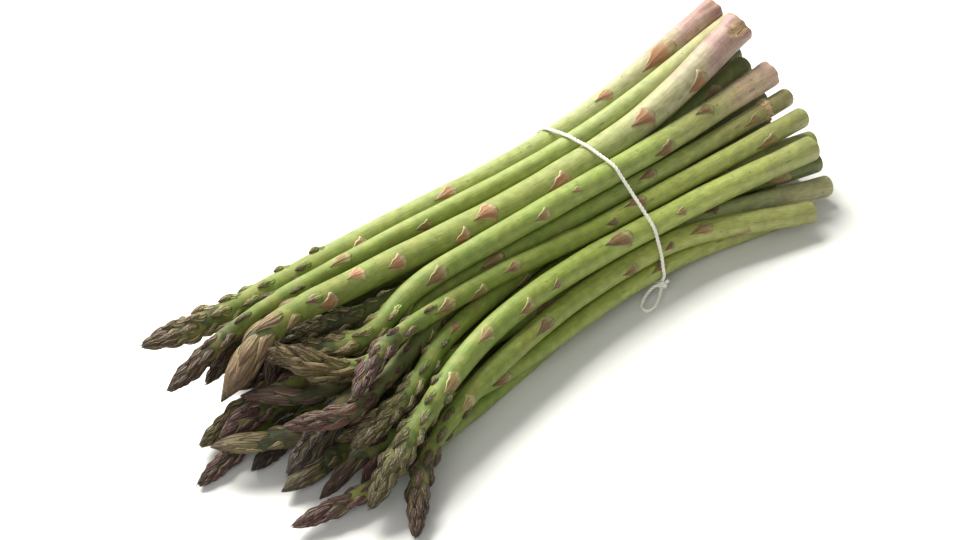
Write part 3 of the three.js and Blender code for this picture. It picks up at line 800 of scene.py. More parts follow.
HEAD_SHAPES: dict[HeadForm, HeadShape] = {
    CLOSED: HeadShape(
        zone=46.0, step=((0.0, 0.3), (17.0, 0.85), (24.0, 2.0), (48.0, 4.2)),
        length=((0.0, 3.5), (5.0, 5.5), (17.0, 7.0), (22.0, 5.6), (48.0, 4.5)),
        half_width=((0.0, 0.62), (6.0, 0.5), (17.0, 0.48), (24.0, 0.42), (48.0, 0.38)),
        lift=((0.0, 0.35), (6.0, 0.65), (17.0, 0.95), (24.0, 0.75), (48.0, 0.45)),
        crown=0.42, bud=0.3, bud_from=15.0, taper=0.95, rows=8,
    ),
    SHEATHED: HeadShape(
        zone=42.0, step=((0.0, 0.3), (8.0, 0.7), (17.0, 1.15), (22.0, 3.0), (45.0, 5.0)),
        length=((0.0, 4.5), (6.0, 7.5), (16.0, 10.5), (20.0, 6.2), (45.0, 5.0)),
        half_width=((0.0, 0.75), (6.0, 0.56), (17.0, 0.56), (22.0, 0.46), (45.0, 0.4)),
        lift=((0.0, 0.35), (10.0, 0.6), (20.0, 0.55), (45.0, 0.4)),
        crown=0.42, bud=0.24, bud_from=21.0,
    ),
    LONG: HeadShape(
        zone=43.0, step=((0.0, 0.3), (43.0, 2.9)),
        length=((0.0, 6.0), (8.6, 10.0), (17.0, 12.5), (28.0, 8.5), (43.0, 5.5)),
        half_width=((0.0, 0.85), (17.0, 0.74), (28.0, 0.62), (43.0, 0.5)),
        lift=((0.0, 0.5), (13.0, 0.85), (28.0, 0.75), (43.0, 0.4)),
        crown=0.55,
    ),
    BUDDED: HeadShape(
        zone=50.0, step=((0.0, 0.3), (12.0, 0.8), (20.0, 1.25), (50.0, 2.7)),
        length=((0.0, 3.8), (8.0, 5.6), (25.0, 6.2), (50.0, 4.5)),
        half_width=((0.0, 0.7), (12.0, 0.52), (30.0, 0.5), (50.0, 0.42)),
        lift=((0.0, 0.45), (12.0, 0.85), (25.0, 0.9), (50.0, 0.5)),
        crown=0.4, bud=0.34, taper=0.95, rows=8,
    ),
    OPEN: HeadShape(
        zone=42.0, step=((0.0, 0.3), (12.0, 0.75), (22.0, 1.1), (42.0, 2.8)),
        length=((0.0, 4.5), (8.0, 7.5), (19.0, 9.5), (27.0, 7.5), (42.0, 5.5)),
        half_width=((0.0, 0.6), (25.0, 0.46), (42.0, 0.42)),
        lift=((0.0, 0.9), (10.0, 2.0), (20.0, 1.9), (28.0, 1.0), (42.0, 0.5)),
        crown=0.45, bud=0.38, splay=2.6, spread=0.9, taper=0.85,
    ),
}

GOLDEN_SHARE = 0.382  # spreads the spears' own shades evenly
LEAF_BED = 0.5  # a leaf bends round a core of at least this radius
LEAF_WRAP = 1.9  # radians from a leaf's middle to its sides, at most
LEAF_ROOT = 0.12  # how deep a leaf's underside goes into the stem
LEAF_THINNEST = 0.03  # a leaf's thickness where it is thinnest
POINT_RADIUS = 0.06  # the head narrows to this at its point,
POINT_SLOPE = 0.45  # and by this much in a millimetre


@dataclass
class Spear:
    """One spear: its stem and cut butt, its bracts and its head."""

    laid: LaidSpear  # the settled spear
    columns: int = 34  # points round the stem
    soft_columns: int = 60  # the same where the butt is soft
    ring_step: float = 1.6  # distance between the stem's rings
    fine_ring_step: float = 0.6  # the same near a soft butt
    fine_from: float = 1.4  # where those rings begin
    fine_reach: float = 15.0  # how far from a soft butt they stand closer
    # How the butt's end is rounded: distance, and share of the radius.
    end_round: Table = ((0.0, 0.9), (0.3, 0.965), (0.9, 1.0))
    core: float = 0.84  # the head's core under the scales, as a share of the head's radius
    core_reach: float = 12.0  # how far the stem takes to become the core, half before the neck
    core_end: float = 0.6  # how far before the point the core ends
    # A node's swelling: its height, how far past the node it is, and its reach along and round.
    node_swell: tuple[float, ...] = (0.26, 4.0, 3.4, 2.4)
    crinkle: float = 0.045  # how deep the folds of a soft butt are, as a share of its radius
    flare: float = 0.07  # how much wider a soft butt ends
    soft_reach: float = 7.0  # how far its folds reach
    wound_depth: float = 0.7  # how deep a hollow is where the fibres show
    slant_angle: float = 42.0  # degrees towards the front, where a cut is furthest back
    # The cut face's rings: share of the radius, and depth.
    cut_rings: Table = (
        (1.0, 0.0), (0.93, -0.12), (0.84, 0.05), (0.66, 0.22), (0.45, 0.3), (0.25, 0.34), (0.08, 0.36),
    )
    # Degrees where flaps of torn skin stand.
    torn_flaps: tuple[float, ...] = (-30.0, 8.0, 40.0, 74.0, 118.0, 190.0, 285.0)
    bud_rows: int = 9  # points from a bud's base to its point
    bud_columns: int = 10  # points round it
    bud_ribs: tuple[float, float] = (2.5, 0.16)  # ribs round a bud, and how deep they are
    sketch: MeshSketch = field(default_factory=MeshSketch)  # the mesh so far
    # The stem's nodes, as (distance from the butt, radians).
    nodes: list[tuple[float, float]] = field(default_factory=list)
    chance: np.random.Generator = field(init=False)  # the spear's own random choices
    phases: Array = field(init=False)  # where its gentle unevenness starts
    tint: float = field(init=False)  # its own shade, from 0 to 1
    soft: bool = field(init=False)  # whether its butt is soft and folded
    steps: Array = field(init=False)  # distances at which its middle line is kept
    # Points of it there, and the directions ahead, to the top and to the front.
    rails: tuple[Array, ...] = field(init=False)

    def __post_init__(self) -> None:
        """Prepares the random choices and the frames along the middle line."""
        self.chance = np.random.default_rng(self.laid.number * 101)
        self.phases = self.chance.uniform(0.0, FULL_TURN, 6)
        self.tint = self.laid.number * GOLDEN_SHARE % 1.0
        self.soft = self.laid.plan.stem in (StemTone.BLUSHED, StemTone.ROSY)
        if self.soft:
            self.columns = self.soft_columns
        shares = np.linspace(0.0, 1.0, 900)
        self.steps = shares * self.laid.length
        ahead = self.laid.line.forward(shares)
        up = unit(np.array([0.0, 0.0, 1.0]) - ahead * ahead[:, 2:3])
        self.rails = (self.laid.line.at(shares), ahead, up, np.cross(up, ahead))

    def place(self, angle: Array, along: Array, radius: Array) -> Array:
        """Turns straightened places into points in the frame.

        Args:
            angle: Radians from the top to the front.
            along: Distance from the butt.
            radius: Distance from the middle line.

        Returns:
            Points in millimetres.
        """
        angle, along, radius = np.broadcast_arrays(angle, along, radius)
        held = np.clip(along, 0.0, self.laid.length)
        middle, ahead, up, front = (
            np.stack([np.interp(held, self.steps, column) for column in rail.T], axis=-1)
            for rail in self.rails
        )
        outward = up * np.cos(angle)[..., None] + front * np.sin(angle)[..., None]
        return middle + (along - held)[..., None] * ahead + unit(outward) * radius[..., None]

    def share(self, along: Array) -> Array:
        """Share of the way from the butt, which is 1 at the neck and 1.25 at the point."""
        neck = self.laid.neck
        return np.where(along < neck, along / neck, 1.0 + 0.25 * (along - neck) / HEAD_LENGTH)

    @staticmethod
    def lay(angle: Array, along: Array, radius: Array) -> Array:
        """Straightened coordinates for the materials, in millimetres."""
        angle, along, radius = np.broadcast_arrays(angle, along, radius)
        return np.stack([radius * np.cos(angle), radius * np.sin(angle), along], axis=-1)

    def bract_places(self) -> list[tuple[float, float, float]]:
        """Finds where the bracts stand.

        Returns:
            Distance from the butt, degrees from the top to the front, and size.
        """
        if self.laid.plan.bracts:
            return [(*place, 1.0)[:3] for place in self.laid.plan.bracts]
        index = self.laid.number - 1
        along = 14.0 + (index * 7) % 17
        angle = float((index * 77) % 360)
        places = []
        while along + 13.0 < self.laid.length - HEAD_LENGTH:
            places.append((along, angle, 1.0))
            along += max(14.0, 34.0 - along * 0.11)
            angle = (angle + SPIRAL_DEGREES) % 360.0
        return places

    def surface(self, angle: Array, along: Array) -> Array:
        """Finds the radius of the bare stem and of the head's core.

        Args:
            angle: Radians from the top to the front.
            along: Distance from the butt.

        Returns:
            Distances from the middle line, with the small swellings, folds and hollows.
        """
        angle, along = np.broadcast_arrays(angle, along)
        into_head = ease((along - self.laid.neck) / self.core_reach + 0.5)
        radius = self.laid.radius(along) * (1.0 - (1.0 - self.core) * into_head)
        p = self.phases
        round_share = 0.014 * np.cos(2 * angle + p[0] + along * 0.02) + 0.01 * np.cos(3 * angle + p[1])
        along_share = 0.012 * np.sin(along * 0.11 + p[2]) + 0.01 * np.sin(along * 0.27 + p[3])
        radius = radius * (1.0 + (round_share + along_share) * (1.0 - 0.5 * into_head))
        height, past, length, width = self.node_swell
        for start, where in self.nodes:
            turn = np.abs(turn_from(where, angle)) * radius
            near = ((along - start - past) / length) ** 2 + (turn / width) ** 2
            radius = radius + height * np.exp(-near)
        if self.soft:
            near = np.exp(-np.maximum(along, 0.0) / self.soft_reach)
            folds = np.cos(5 * angle + p[4]) + 0.7 * np.cos(9 * angle + p[5] + 0.3 * along)
            radius = radius * (1.0 + near * (self.flare + self.crinkle * folds))
        return radius - self.wound_depth * self.worn(angle, along)

    def worn(self, angle: Array, along: Array) -> Array:
        """Finds where the fibres show in a hollow of the skin.

        Args:
            angle: Radians from the top to the front.
            along: Distance from the butt.

        Returns:
            Shares from 0 on sound skin to 1 in the hollow.
        """
        if not self.laid.plan.wound:
            return np.zeros(np.broadcast(angle, along).shape)
        start, degrees, half_length, half_width = self.laid.plan.wound
        across = turn_from(math.radians(degrees), angle) * self.laid.plan.girth / half_width
        lengthwise = (along - start) / half_length
        uneven = 0.16 * np.sin(5.0 * across + 3.0 * lengthwise) + 0.14 * np.sin(6.0 * lengthwise)
        return ease((1.0 + uneven - np.hypot(across, lengthwise)) / 0.6)

    def _add(
        self, part: Part, faces: Iterable[Face], angle: Array, along: Array, radius: Array, /,
        **values: Array | float
    ) -> None:
        """Adds a surface of the spear, with the values that its materials read.

        Args:
            part: What it belongs to.
            faces: Its faces.
            angle: Radians from the top to the front.
            along: Distance from the butt.
            radius: Distance from the middle line.
            **values: Values that differ from the usual ones.
        """
        usual = {"lay": self.lay(angle, along, radius), "along": self.share(along), "grow": 0.5,
                 "edge": 0.0, "tint": self.tint, "worn": 0.0}
        self.sketch.add(self.place(angle, along, radius), faces, part, **(usual | values))

    def build_stem(self) -> None:
        """The stem from its cut butt to the end of the head's core."""
        laid = self.laid
        near = np.array([place for place, _ in self.end_round])
        if self.soft:
            near = np.concatenate([near, np.arange(self.fine_from, self.fine_reach, self.fine_ring_step)])
        far = laid.length - self.core_end
        spans = int((far - near[-1]) / self.ring_step)
        along = np.concatenate([near, np.linspace(near[-1], far, spans + 1)[1:]])
        angle = round_angles(self.columns)
        angles, alongs = np.meshgrid(angle, along)
        cut_share = np.clip(1.0 - alongs / (3.0 * laid.plan.slant + 1.0), 0.0, 1.0)
        alongs = alongs + self._cut_back(angles) * cut_share
        radius = self.surface(angles, alongs) * read_table(self.end_round, along)[:, None]
        faces = grid_faces(len(along), self.columns, wrapped=True)
        self._add(Part.SKIN, faces, angles, alongs, radius, worn=self.worn(angles, alongs))
        self._close_core(angle, radius[-1])
        self._build_cut(angle, radius[0])

    def _close_core(self, angle: Array, rim: Array) -> None:
        """Closes the head's core with a point.

        Args:
            angle: Radians of the last ring's points.
            rim: Their distances from the middle line.
        """
        along = np.full(self.columns + 1, self.laid.length)
        along[:-1] -= self.core_end
        fan = [(c, self.columns, (c + 1) % self.columns) for c in range(self.columns)]
        self._add(Part.SKIN, fan, np.append(angle, 0.0), along, np.append(rim, 0.0),
                  lay=np.zeros((self.columns + 1, 3)), along=1.25, tint=0.5)

    def _cut_back(self, angle: Array) -> Array:
        """How far the cut is from the square end, round the butt."""
        return self.laid.plan.slant * (0.5 + 0.5 * np.cos(angle - math.radians(self.slant_angle)))

    def _build_cut(self, angle: Array, rim: Array) -> None:
        """Builds the butt's cut face: a rim of skin round flesh that has sunk a little.

        Args:
            angle: Radians of the first ring's points.
            rim: Their distances from the middle line.
        """
        shares, depths = np.array(self.cut_rings).T
        angles, reach = np.meshgrid(angle, shares)
        slant = self.laid.plan.slant
        rough = (0.1 + 0.06 * slant) * np.sin(math.pi * reach) * (
            np.sin(5 * angles + self.phases[4] + 6 * reach) + 0.5 * np.sin(11 * angles + 9 * reach)
        )
        square = 0.5 * slant
        depth = depths[:, None] + rough + square + (self._cut_back(angles) - square) * reach
        faces = grid_faces(len(shares), self.columns, wrapped=True)
        inmost = range((len(shares) - 1) * self.columns, len(shares) * self.columns)
        faces += turned([tuple(inmost)])
        self._add(Part.CUT, faces, angles, depth, rim[None] * reach, along=0.0, grow=reach, edge=reach)

    def _leaf_sides(self, leaf: LeafShape, t: Array, u: Array) -> Array:
        """Finds half the width of a leaf with uneven sides.

        Args:
            leaf: Its sizes.
            t: Share of the leaf's length.
            u: Share of the way from its middle to its sides.

        Returns:
            Millimetres.
        """
        half = leaf.half(t)
        if leaf.ragged > 0.0:
            one, two = self.chance.uniform(0.0, FULL_TURN, 2)
            side = np.where(u > 0.0, one, two)
            waves = np.sin(11.0 * t + side) + 0.6 * np.sin(19.0 * t + 2.0 * side)
            half = half * (1.0 + leaf.ragged * waves)
        return half

    def add_leaf(
        self, part: Part, along: float, angle: float, leaf: LeafShape, rows: int = 10, columns: int = 9,
        tint: float = 0.5, lean: float = 0.0, sense: float = 1.0,
    ) -> None:
        """Adds one pointed leaf that lies on the spear.

        Args:
            part: Bract or scale.
            along: Distance of its base from the butt.
            angle: Radians from the top to the front.
            leaf: Its sizes.
            rows: Points from its base to its point.
            columns: Points across it.
            tint: Its own shade, from 0 to 1.
            lean: How far its point leans round the stem.
            sense: 1 where it points to the head, and -1 to the butt.
        """
        t, u = np.meshgrid(np.linspace(0.0, 1.0, rows), np.linspace(-1.0, 1.0, columns), indexing="ij")
        half = self._leaf_sides(leaf, t, u)
        place = along + sense * leaf.length * (t + leaf.round_base * u * u * (1.0 - t) ** 2)
        bed = np.maximum(self.surface(np.full_like(t, angle), place), LEAF_BED)
        theta = angle + (u * half + lean * t * t) / np.maximum(bed, half / LEAF_WRAP)
        cone = POINT_RADIUS + POINT_SLOPE * np.maximum(self.laid.length + 1.0 - place, 0.0)
        ground = np.minimum(self.surface(theta, np.minimum(place, self.laid.length)), cone)
        height = leaf.height(t, u)
        top = np.minimum(ground + height + 0.02, cone + 0.1)
        low = np.minimum(ground + np.maximum(height - leaf.thickness, -LEAF_ROOT), top - LEAF_THINNEST)
        faces = shell_faces(rows, columns)
        angles, places, grow, edge = (np.stack([value, value]) for value in (theta, place, t, np.abs(u)))
        self._add(part, turned(faces) if sense < 0.0 else faces, angles, places, np.stack([top, low]),
                  grow=grow, edge=edge, tint=tint)

    def _under_string(self, along: float) -> bool:
        """Whether a bract that begins there comes under the string."""
        return abs(self.place(0.0, along + 5.0, 0.0)[0] + CENTRE[0] - TIE_X) < 9.0

    def build_bracts(self) -> None:
        """The bracts on the stem, larger towards the butt and pressed flat under the string."""
        girth = self.laid.plan.girth
        for along, degrees, own_size in self.bract_places():
            share = along / self.laid.neck
            size = own_size * self.chance.uniform(0.72, 1.12)
            lift = 0.16 + 0.16 * self.chance.uniform()
            pressed = self._under_string(along)
            leaf = LeafShape(
                length=(12.0 - 3.2 * share) * size, half_width=(1.0 - 0.16 * share) * girth * size,
                lift=0.12 if pressed else lift, crown=0.12 if pressed else 0.08, widest=0.08,
                taper=self.chance.uniform(0.9, 1.15), tuck=0.8, ragged=0.09,
            )
            self.add_leaf(Part.BRACT, along, math.radians(degrees), leaf, rows=14, columns=11,
                          tint=float(self.chance.uniform()), lean=float(self.chance.uniform(-0.9, 0.9)))
        if self.laid.plan.torn > 0.0:
            self._build_torn_skin()

    def _build_torn_skin(self) -> None:
        """Dry curled flaps where the skin has split near the butt, pointing back to the cut."""
        girth = self.laid.plan.girth
        for degrees in self.torn_flaps:
            size = float(self.chance.uniform(0.7, 1.25))
            flap = LeafShape(length=1.1 * girth * size, half_width=0.52 * girth * size, lift=0.8 * size,
                             crown=0.15, widest=0.3, taper=0.6, ragged=0.12)
            along = self.laid.plan.torn + 2.0 + float(self.chance.uniform(-1.0, 1.0))
            self.add_leaf(Part.HUSK, along, math.radians(degrees), flap, rows=9, columns=9,
                          tint=float(self.chance.uniform()), lean=0.7, sense=-1.0)

    def add_bud(
        self, along: float, angle: float, length: float, girth: float, splay: float, tint: float
    ) -> None:
        """Adds a small ribbed bud that stands on the head's core.

        Args:
            along: Distance of its base from the butt.
            angle: Radians from the top to the front.
            length: From its base to its point.
            girth: Its radius.
            splay: How far its point stands off.
            tint: Its own shade, from 0 to 1.
        """
        t, turn = np.meshgrid(
            np.linspace(0.0, 1.0, self.bud_rows), round_angles(self.bud_columns), indexing="ij")
        ribs, depth = self.bud_ribs
        ridge = np.abs(np.sin(ribs * turn + 4.0 * t))
        swell = girth * np.sin(math.pi * t ** 0.8).clip(0.05) ** 0.85 * (1.0 - depth * ridge)
        place = along + length * t
        bed = self.surface(np.full_like(t, angle), np.minimum(place, self.laid.length))
        radius = bed + 0.35 * girth + splay * t * t + swell * np.cos(turn)
        theta = angle + swell * np.sin(turn) / np.maximum(radius, 0.8)
        faces = grid_faces(self.bud_rows, self.bud_columns, wrapped=True)
        self._add(Part.SCALE, faces, theta, place, radius, grow=t, edge=ridge, tint=tint)

    def build_head(self) -> None:
        """The head: leaves in a spiral, closer together towards the point."""
        laid = self.laid
        shape = HEAD_SHAPES[laid.plan.form]
        angle = float(self.phases[5])
        zone = shape.zone * float(self.chance.uniform(0.9, 1.08)) + laid.plan.early
        left = zone
        while left > shape.last:
            along = laid.length - left
            near = float(laid.radius(min(along + 3.0, laid.length)))
            draws = self.chance.uniform((0.82, 0.0, -0.8), (1.18, 1.0, 0.8))
            size, shade, lean = (float(draw) for draw in draws)
            spread = shape.facing(angle)
            length = float(read_table(shape.length, left)) * size * (0.75 + 0.25 * spread)
            length = min(length, left + 0.9)
            leaf = LeafShape(
                length=length,
                half_width=float(read_table(shape.half_width, left)) * near * (0.5 + 0.5 * size),
                lift=float(read_table(shape.lift, left)) * size * spread,
                crown=shape.crown, widest=shape.widest, taper=shape.taper, tuck=0.55, ragged=0.03,
            )
            if shape.bud > 0.0 and left > shape.bud_from:
                splay = shape.splay * (1.0 - left / zone) * spread
                self.add_bud(along + 2.0, angle, min(length * 0.92, left - 2.4),
                             shape.bud * near * (0.6 + 0.4 * size), splay, shade)
            self.add_leaf(Part.SCALE, along, angle, leaf, shape.rows, 7, shade, lean)
            angle += math.radians(SPIRAL_DEGREES) + float(self.chance.uniform(-shape.loose, shape.loose))
            left -= float(read_table(shape.step, left))

    def build(self, finishes: "Finishes") -> Piece:
        """Builds the whole spear and puts it in its CAD solid's place.

        Args:
            finishes: Where the materials come from.

        Returns:
            The finished piece.
        """
        self.nodes = [(along, math.radians(degrees)) for along, degrees, _ in self.bract_places()]
        self.build_stem()
        self.build_bracts()
        self.build_head()
        node = f"spear_{self.laid.number:02d}"
        plan = self.laid.plan
        piece = self.sketch.to_object(f"asparagus_{self.laid.number:02d}", [
            finishes.skin(plan.stem), finishes.bract(plan.stem), finishes.scale(plan.head),
            finishes.cut(plan.stem), finishes.husk(),
        ])
        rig.ride(piece, "root")
        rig.replaces(piece, node)
        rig.slot(piece, "spear")
        return piece


# ---- the string

@dataclass
class Tie:
    """The string: its turn round the bundle, the knot, the small loop and the cut end."""

    spears: list[LaidSpear]  # the settled spears that it goes round
    strand: float = 0.3  # radius of one of its strands
    plies: int = 3  # how many strands are twisted together
    sides: int = 8  # points round a strand
    snug: float = 1.06  # how much wider a strand is, so that they press together
    pitch: float = 4.2  # length of one twist
    rope_step: float = 0.3  # distance between rings on the straighter stretches
    knot_step: float = 0.2  # the same in the knot
    fewest_rings: int = 8  # rings of the shortest stretch
    off_floor: float = 2.1  # how high its middle stays above the floor, in radii of a strand
    pieces_round: int = 52  # points that its turn passes through
    stem_points: int = 32  # points round each spear's section
    aim: tuple[float, float] = (-30.0, 5.0)  # where the knot is, as (y, z) in the layout
    knot_from: Triple = (-0.5, -1.3, -0.4)  # the knot's middle, from the string's turn there
    knot_radius: float = 1.1  # radius of the knot's turns
    # The knot's turns: their axes, and shares of the radius.
    knot_turns: tuple[tuple[Triple, float], ...] = (
        ((0.2, 0.3, 1.0), 1.0), ((1.0, 0.2, 0.5), 1.0), ((0.4, 1.0, -0.3), 0.75),
    )
    knot_points: int = 14  # points that a turn of the knot passes through
    # Points of the small loop, from the knot's middle.
    loop: tuple[Triple, ...] = (
        (0, 0, 0), (-2.5, 0.9, 0.4), (-5.6, 1, -0.2), (-9.4, 0, -0.9), (-11.9, -1.6, -1.5),
        (-12, -3.7, -1.8), (-9.5, -4.3, -1.8), (-6.1, -3.3, -1.4), (-3, -1.8, -0.6), (0, 0, 0),
    )
    # Points of the cut end, from the knot's middle.
    cut_end: tuple[Triple, ...] = ((0, 0, 0), (1, -0.6, 0.6), (1.7, -1, 1.7))
    sketch: MeshSketch = field(default_factory=MeshSketch)  # the mesh so far

    def _section(self, spear: LaidSpear, plane: float) -> list[tuple[float, float]]:
        """Finds where the string may rest on one spear.

        Args:
            spear: The settled spear.
            plane: The string's plane, as an x in the frame.

        Returns:
            Points round the spear's section, a little outside it, as (y, z).
        """
        k = int(np.argmax(spear.joints[:, 0] < plane))
        x0, x1 = spear.joints[k - 1, 0] - plane, spear.joints[k, 0] - plane
        share = (k - 1 + x0 / (x0 - x1)) / (len(spear.joints) - 1)
        _, y, z = spear.line.at(np.array([share]))[0]
        forward = spear.line.forward(np.array([share]))[0]
        radius = float(spear.radius(spear.length * share)) / abs(forward[0]) + STRING_RADIUS + CLEARANCE
        turns = np.arange(self.stem_points) / self.stem_points * FULL_TURN
        return [(y + radius * math.cos(turn), z + radius * math.sin(turn)) for turn in turns]

    def outline(self) -> Array:
        """Lays the string's turn tightly round the spears' sections.

        Returns:
            Points of its middle line, at equal steps.
        """
        plane = TIE_X - CENTRE[0]
        points = sorted(point for spear in self.spears for point in self._section(spear, plane))
        hull = self._half_hull(points) + self._half_hull(points[::-1])
        closed = np.array(hull + hull[:1])
        lengths = np.concatenate([[0.0], np.cumsum(np.linalg.norm(np.diff(closed, axis=0), axis=1))])
        at = np.arange(self.pieces_round) / self.pieces_round * lengths[-1]
        y, z = (np.interp(at, lengths, closed[:, c]) for c in (0, 1))
        return np.stack([np.full_like(y, plane), y, z], axis=1)

    @staticmethod
    def _half_hull(ordered: list[tuple[float, float]]) -> list[tuple[float, float]]:
        """Finds one side of the convex outline of points.

        Args:
            ordered: The points in rising order for one side, and in falling order for the other.

        Returns:
            The outline's corners on that side, without the last one.
        """
        chain: list[tuple[float, float]] = []
        for p in ordered:
            while len(chain) > 1:
                (ax, ay), (bx, by) = chain[-2], chain[-1]
                if (bx - ax) * (p[1] - ay) - (by - ay) * (p[0] - ax) > 0:
                    break
                chain.pop()
            chain.append(p)
        return chain[:-1]

    def add_rope(self, curve: SmoothCurve, step: float) -> None:
        """Adds strands that twist round a curve.

        Args:
            curve: The string's middle line.
            step: Distance between the strands' rings.
        """
        rings = max(int(curve.length / step), self.fewest_rings)
        shares = np.linspace(0.0, 1.0, rings)
        middle = curve.at(shares)
        middle[:, 2] = np.maximum(middle[:, 2], self.off_floor * self.strand)
        ahead = curve.forward(shares)
        side = np.zeros_like(ahead)
        side[0] = unit(np.cross(ahead[0], (0.31, 0.17, 0.93)))
        for i in range(1, rings):
            side[i] = unit(side[i - 1] - ahead[i] * float(side[i - 1] @ ahead[i]))
        across = np.cross(ahead, side)
        turns = max(round(curve.length / self.pitch), 1) if curve.closed else curve.length / self.pitch
        around = round_angles(self.sides)
        angle, share = np.meshgrid(around, shares)
        lay = np.stack([np.cos(angle) * self.strand, np.sin(angle) * self.strand, share * curve.length],
                       axis=-1)
        ring = side[:, None] * np.cos(angle)[..., None] + across[:, None] * np.sin(angle)[..., None]
        faces = turned(grid_faces(rings, self.sides, wrapped=True))
        if not curve.closed:
            faces.append(tuple(range(self.sides)))
            faces.append(tuple(reversed(range((rings - 1) * self.sides, rings * self.sides))))
        for ply in range(self.plies):
            twist = FULL_TURN * (turns * shares + ply / self.plies)[:, None]
            centre = middle + self.strand * (side * np.cos(twist) + across * np.sin(twist))
            self.sketch.add(centre[:, None] + self.strand * self.snug * ring, faces, Part.SKIN, lay=lay)

    def _turn(self, knot: Array, axis: Triple, radius: float) -> None:
        """Adds a turn of the knot: a ring of string.

        Args:
            knot: Its middle.
            axis: What it goes round.
            radius: Its radius.
        """
        along = unit(np.array(axis))
        side = unit(np.cross(along, (0.3, 1.0, 0.2)))
        across = np.cross(along, side)
        angle = round_angles(self.knot_points)[:, None]
        ring = knot + radius * (side * np.cos(angle) + across * np.sin(angle))
        self.add_rope(SmoothCurve(ring, closed=True), self.knot_step)

    def build(self, finishes: "Finishes") -> Piece:
        """Builds the string and puts it in its CAD solid's place.

        Args:
            finishes: Where the material comes from.

        Returns:
            The finished piece.
        """
        outline = self.outline()
        self.add_rope(SmoothCurve(outline, closed=True), self.rope_step)
        aim = np.array([outline[0, 0], self.aim[0] - CENTRE[1], self.aim[1]])
        place = outline[int(np.argmin(np.linalg.norm(outline - aim, axis=1)))]
        knot = place + np.array(self.knot_from)
        for axis, share in self.knot_turns:
            self._turn(knot, axis, self.knot_radius * share)
        for points in (self.loop, self.cut_end):
            self.add_rope(SmoothCurve(np.array(points, float) + knot), self.rope_step)
        piece = self.sketch.to_object("string_tie", [finishes.string()])
        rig.ride(piece, "root")
        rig.replaces(piece, "tie_string")
        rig.slot(piece, "string")
        return piece


# ---- materials

@dataclass
class NodeBoard:
    """Places shader nodes in a tree and joins them."""

    tree: Tree

    def node(
        self, kind: str, inputs: Inputs = (), **settings: object
    ) -> Node:
        """Adds a node.

        Args:
            kind: What it is.
            inputs: What its sockets get, in order, or by number or name.
            **settings: Its own settings.

        Returns:
            The node.
        """
        made = self.tree.nodes.new(kind)
        for name, value in settings.items():
            setattr(made, name, value)
        self.feed(made, inputs)
        return made

    def feed(self, node: Node, inputs: Inputs) -> None:
        """Joins a node's sockets to others, or sets their numbers and colours.

        Args:
            node: The node.
            inputs: What its sockets get, in order, or by number or name.
        """
        pairs = inputs.items() if isinstance(inputs, Mapping) else enumerate(inputs)
        for key, value in pairs:
            socket = node.inputs[key]
            if isinstance(value, Socket):
                self.tree.links.new(value, socket)
            elif isinstance(value, tuple) and socket.type == "RGBA":
                socket.default_value = (*value, 1.0)
            else:
                socket.default_value = value

    def number(self, name: str) -> Socket:
        """Reads a named number of the mesh."""
        return self.node("ShaderNodeAttribute", attribute_name=name).outputs["Fac"]

    def lay(self) -> Socket:
        """Reads the mesh's straightened coordinates."""
        return self.node("ShaderNodeAttribute", attribute_name="lay").outputs["Vector"]

    def math(self, operation: str, *values: object, clamp: bool = False) -> Socket:
        """Calculates a number."""
        return self.node("ShaderNodeMath", values, operation=operation, use_clamp=clamp).outputs[0]

    def times(self, first: object, second: object, clamp: bool = False) -> Socket:
        """Multiplies two numbers."""
        return self.math("MULTIPLY", first, second, clamp=clamp)

    def blend(self, share: object, first: object, second: object, how: str = "MIX") -> Socket:
        """Mixes two colours, which are a mixing node's seventh and eighth sockets."""
        inputs = {0: share, 6: first, 7: second}
        return self.node("ShaderNodeMix", inputs, data_type="RGBA", blend_type=how).outputs[2]

    def shade(self, colour: Socket, value: object, hue: object = 0.5, saturation: float = 1.0) -> Socket:
        """Makes a colour lighter or darker, and shifts it a little."""
        inputs = {"Color": colour, "Value": value, "Hue": hue, "Saturation": saturation}
        return self.node("ShaderNodeHueSaturation", inputs).outputs[0]

    def ramp(self, value: object, stops: Stops) -> Socket:
        """Gives colours along a value.

        Args:
            value: The value.
            stops: Places and their colours, in rising order.

        Returns:
            The colour.
        """
        made = self.node("ShaderNodeValToRGB", (value,))
        while len(made.color_ramp.elements) < len(stops):
            made.color_ramp.elements.new(0.5)
        for element, (place, colour) in zip(made.color_ramp.elements, stops):
            element.position = place
            element.color = (*colour, 1.0)
        return made.outputs[0]

    def reach(
        self, value: object, low: float, high: float, to_low: float = 0.0, to_high: float = 1.0
    ) -> Socket:
        """Stretches a value from one range to another."""
        return self.node("ShaderNodeMapRange", (value, low, high, to_low, to_high)).outputs[0]

    def spread(self, value: object, to_low: float, to_high: float) -> Socket:
        """Stretches a share to a range."""
        return self.reach(value, 0.0, 1.0, to_low, to_high)

    def stretched(self, place: Socket, factors: tuple[object, object, object]) -> Socket:
        """Multiplies a place's three coordinates."""
        factor = self.node("ShaderNodeCombineXYZ", factors).outputs[0]
        return self.node("ShaderNodeVectorMath", (place, factor), operation="MULTIPLY").outputs[0]


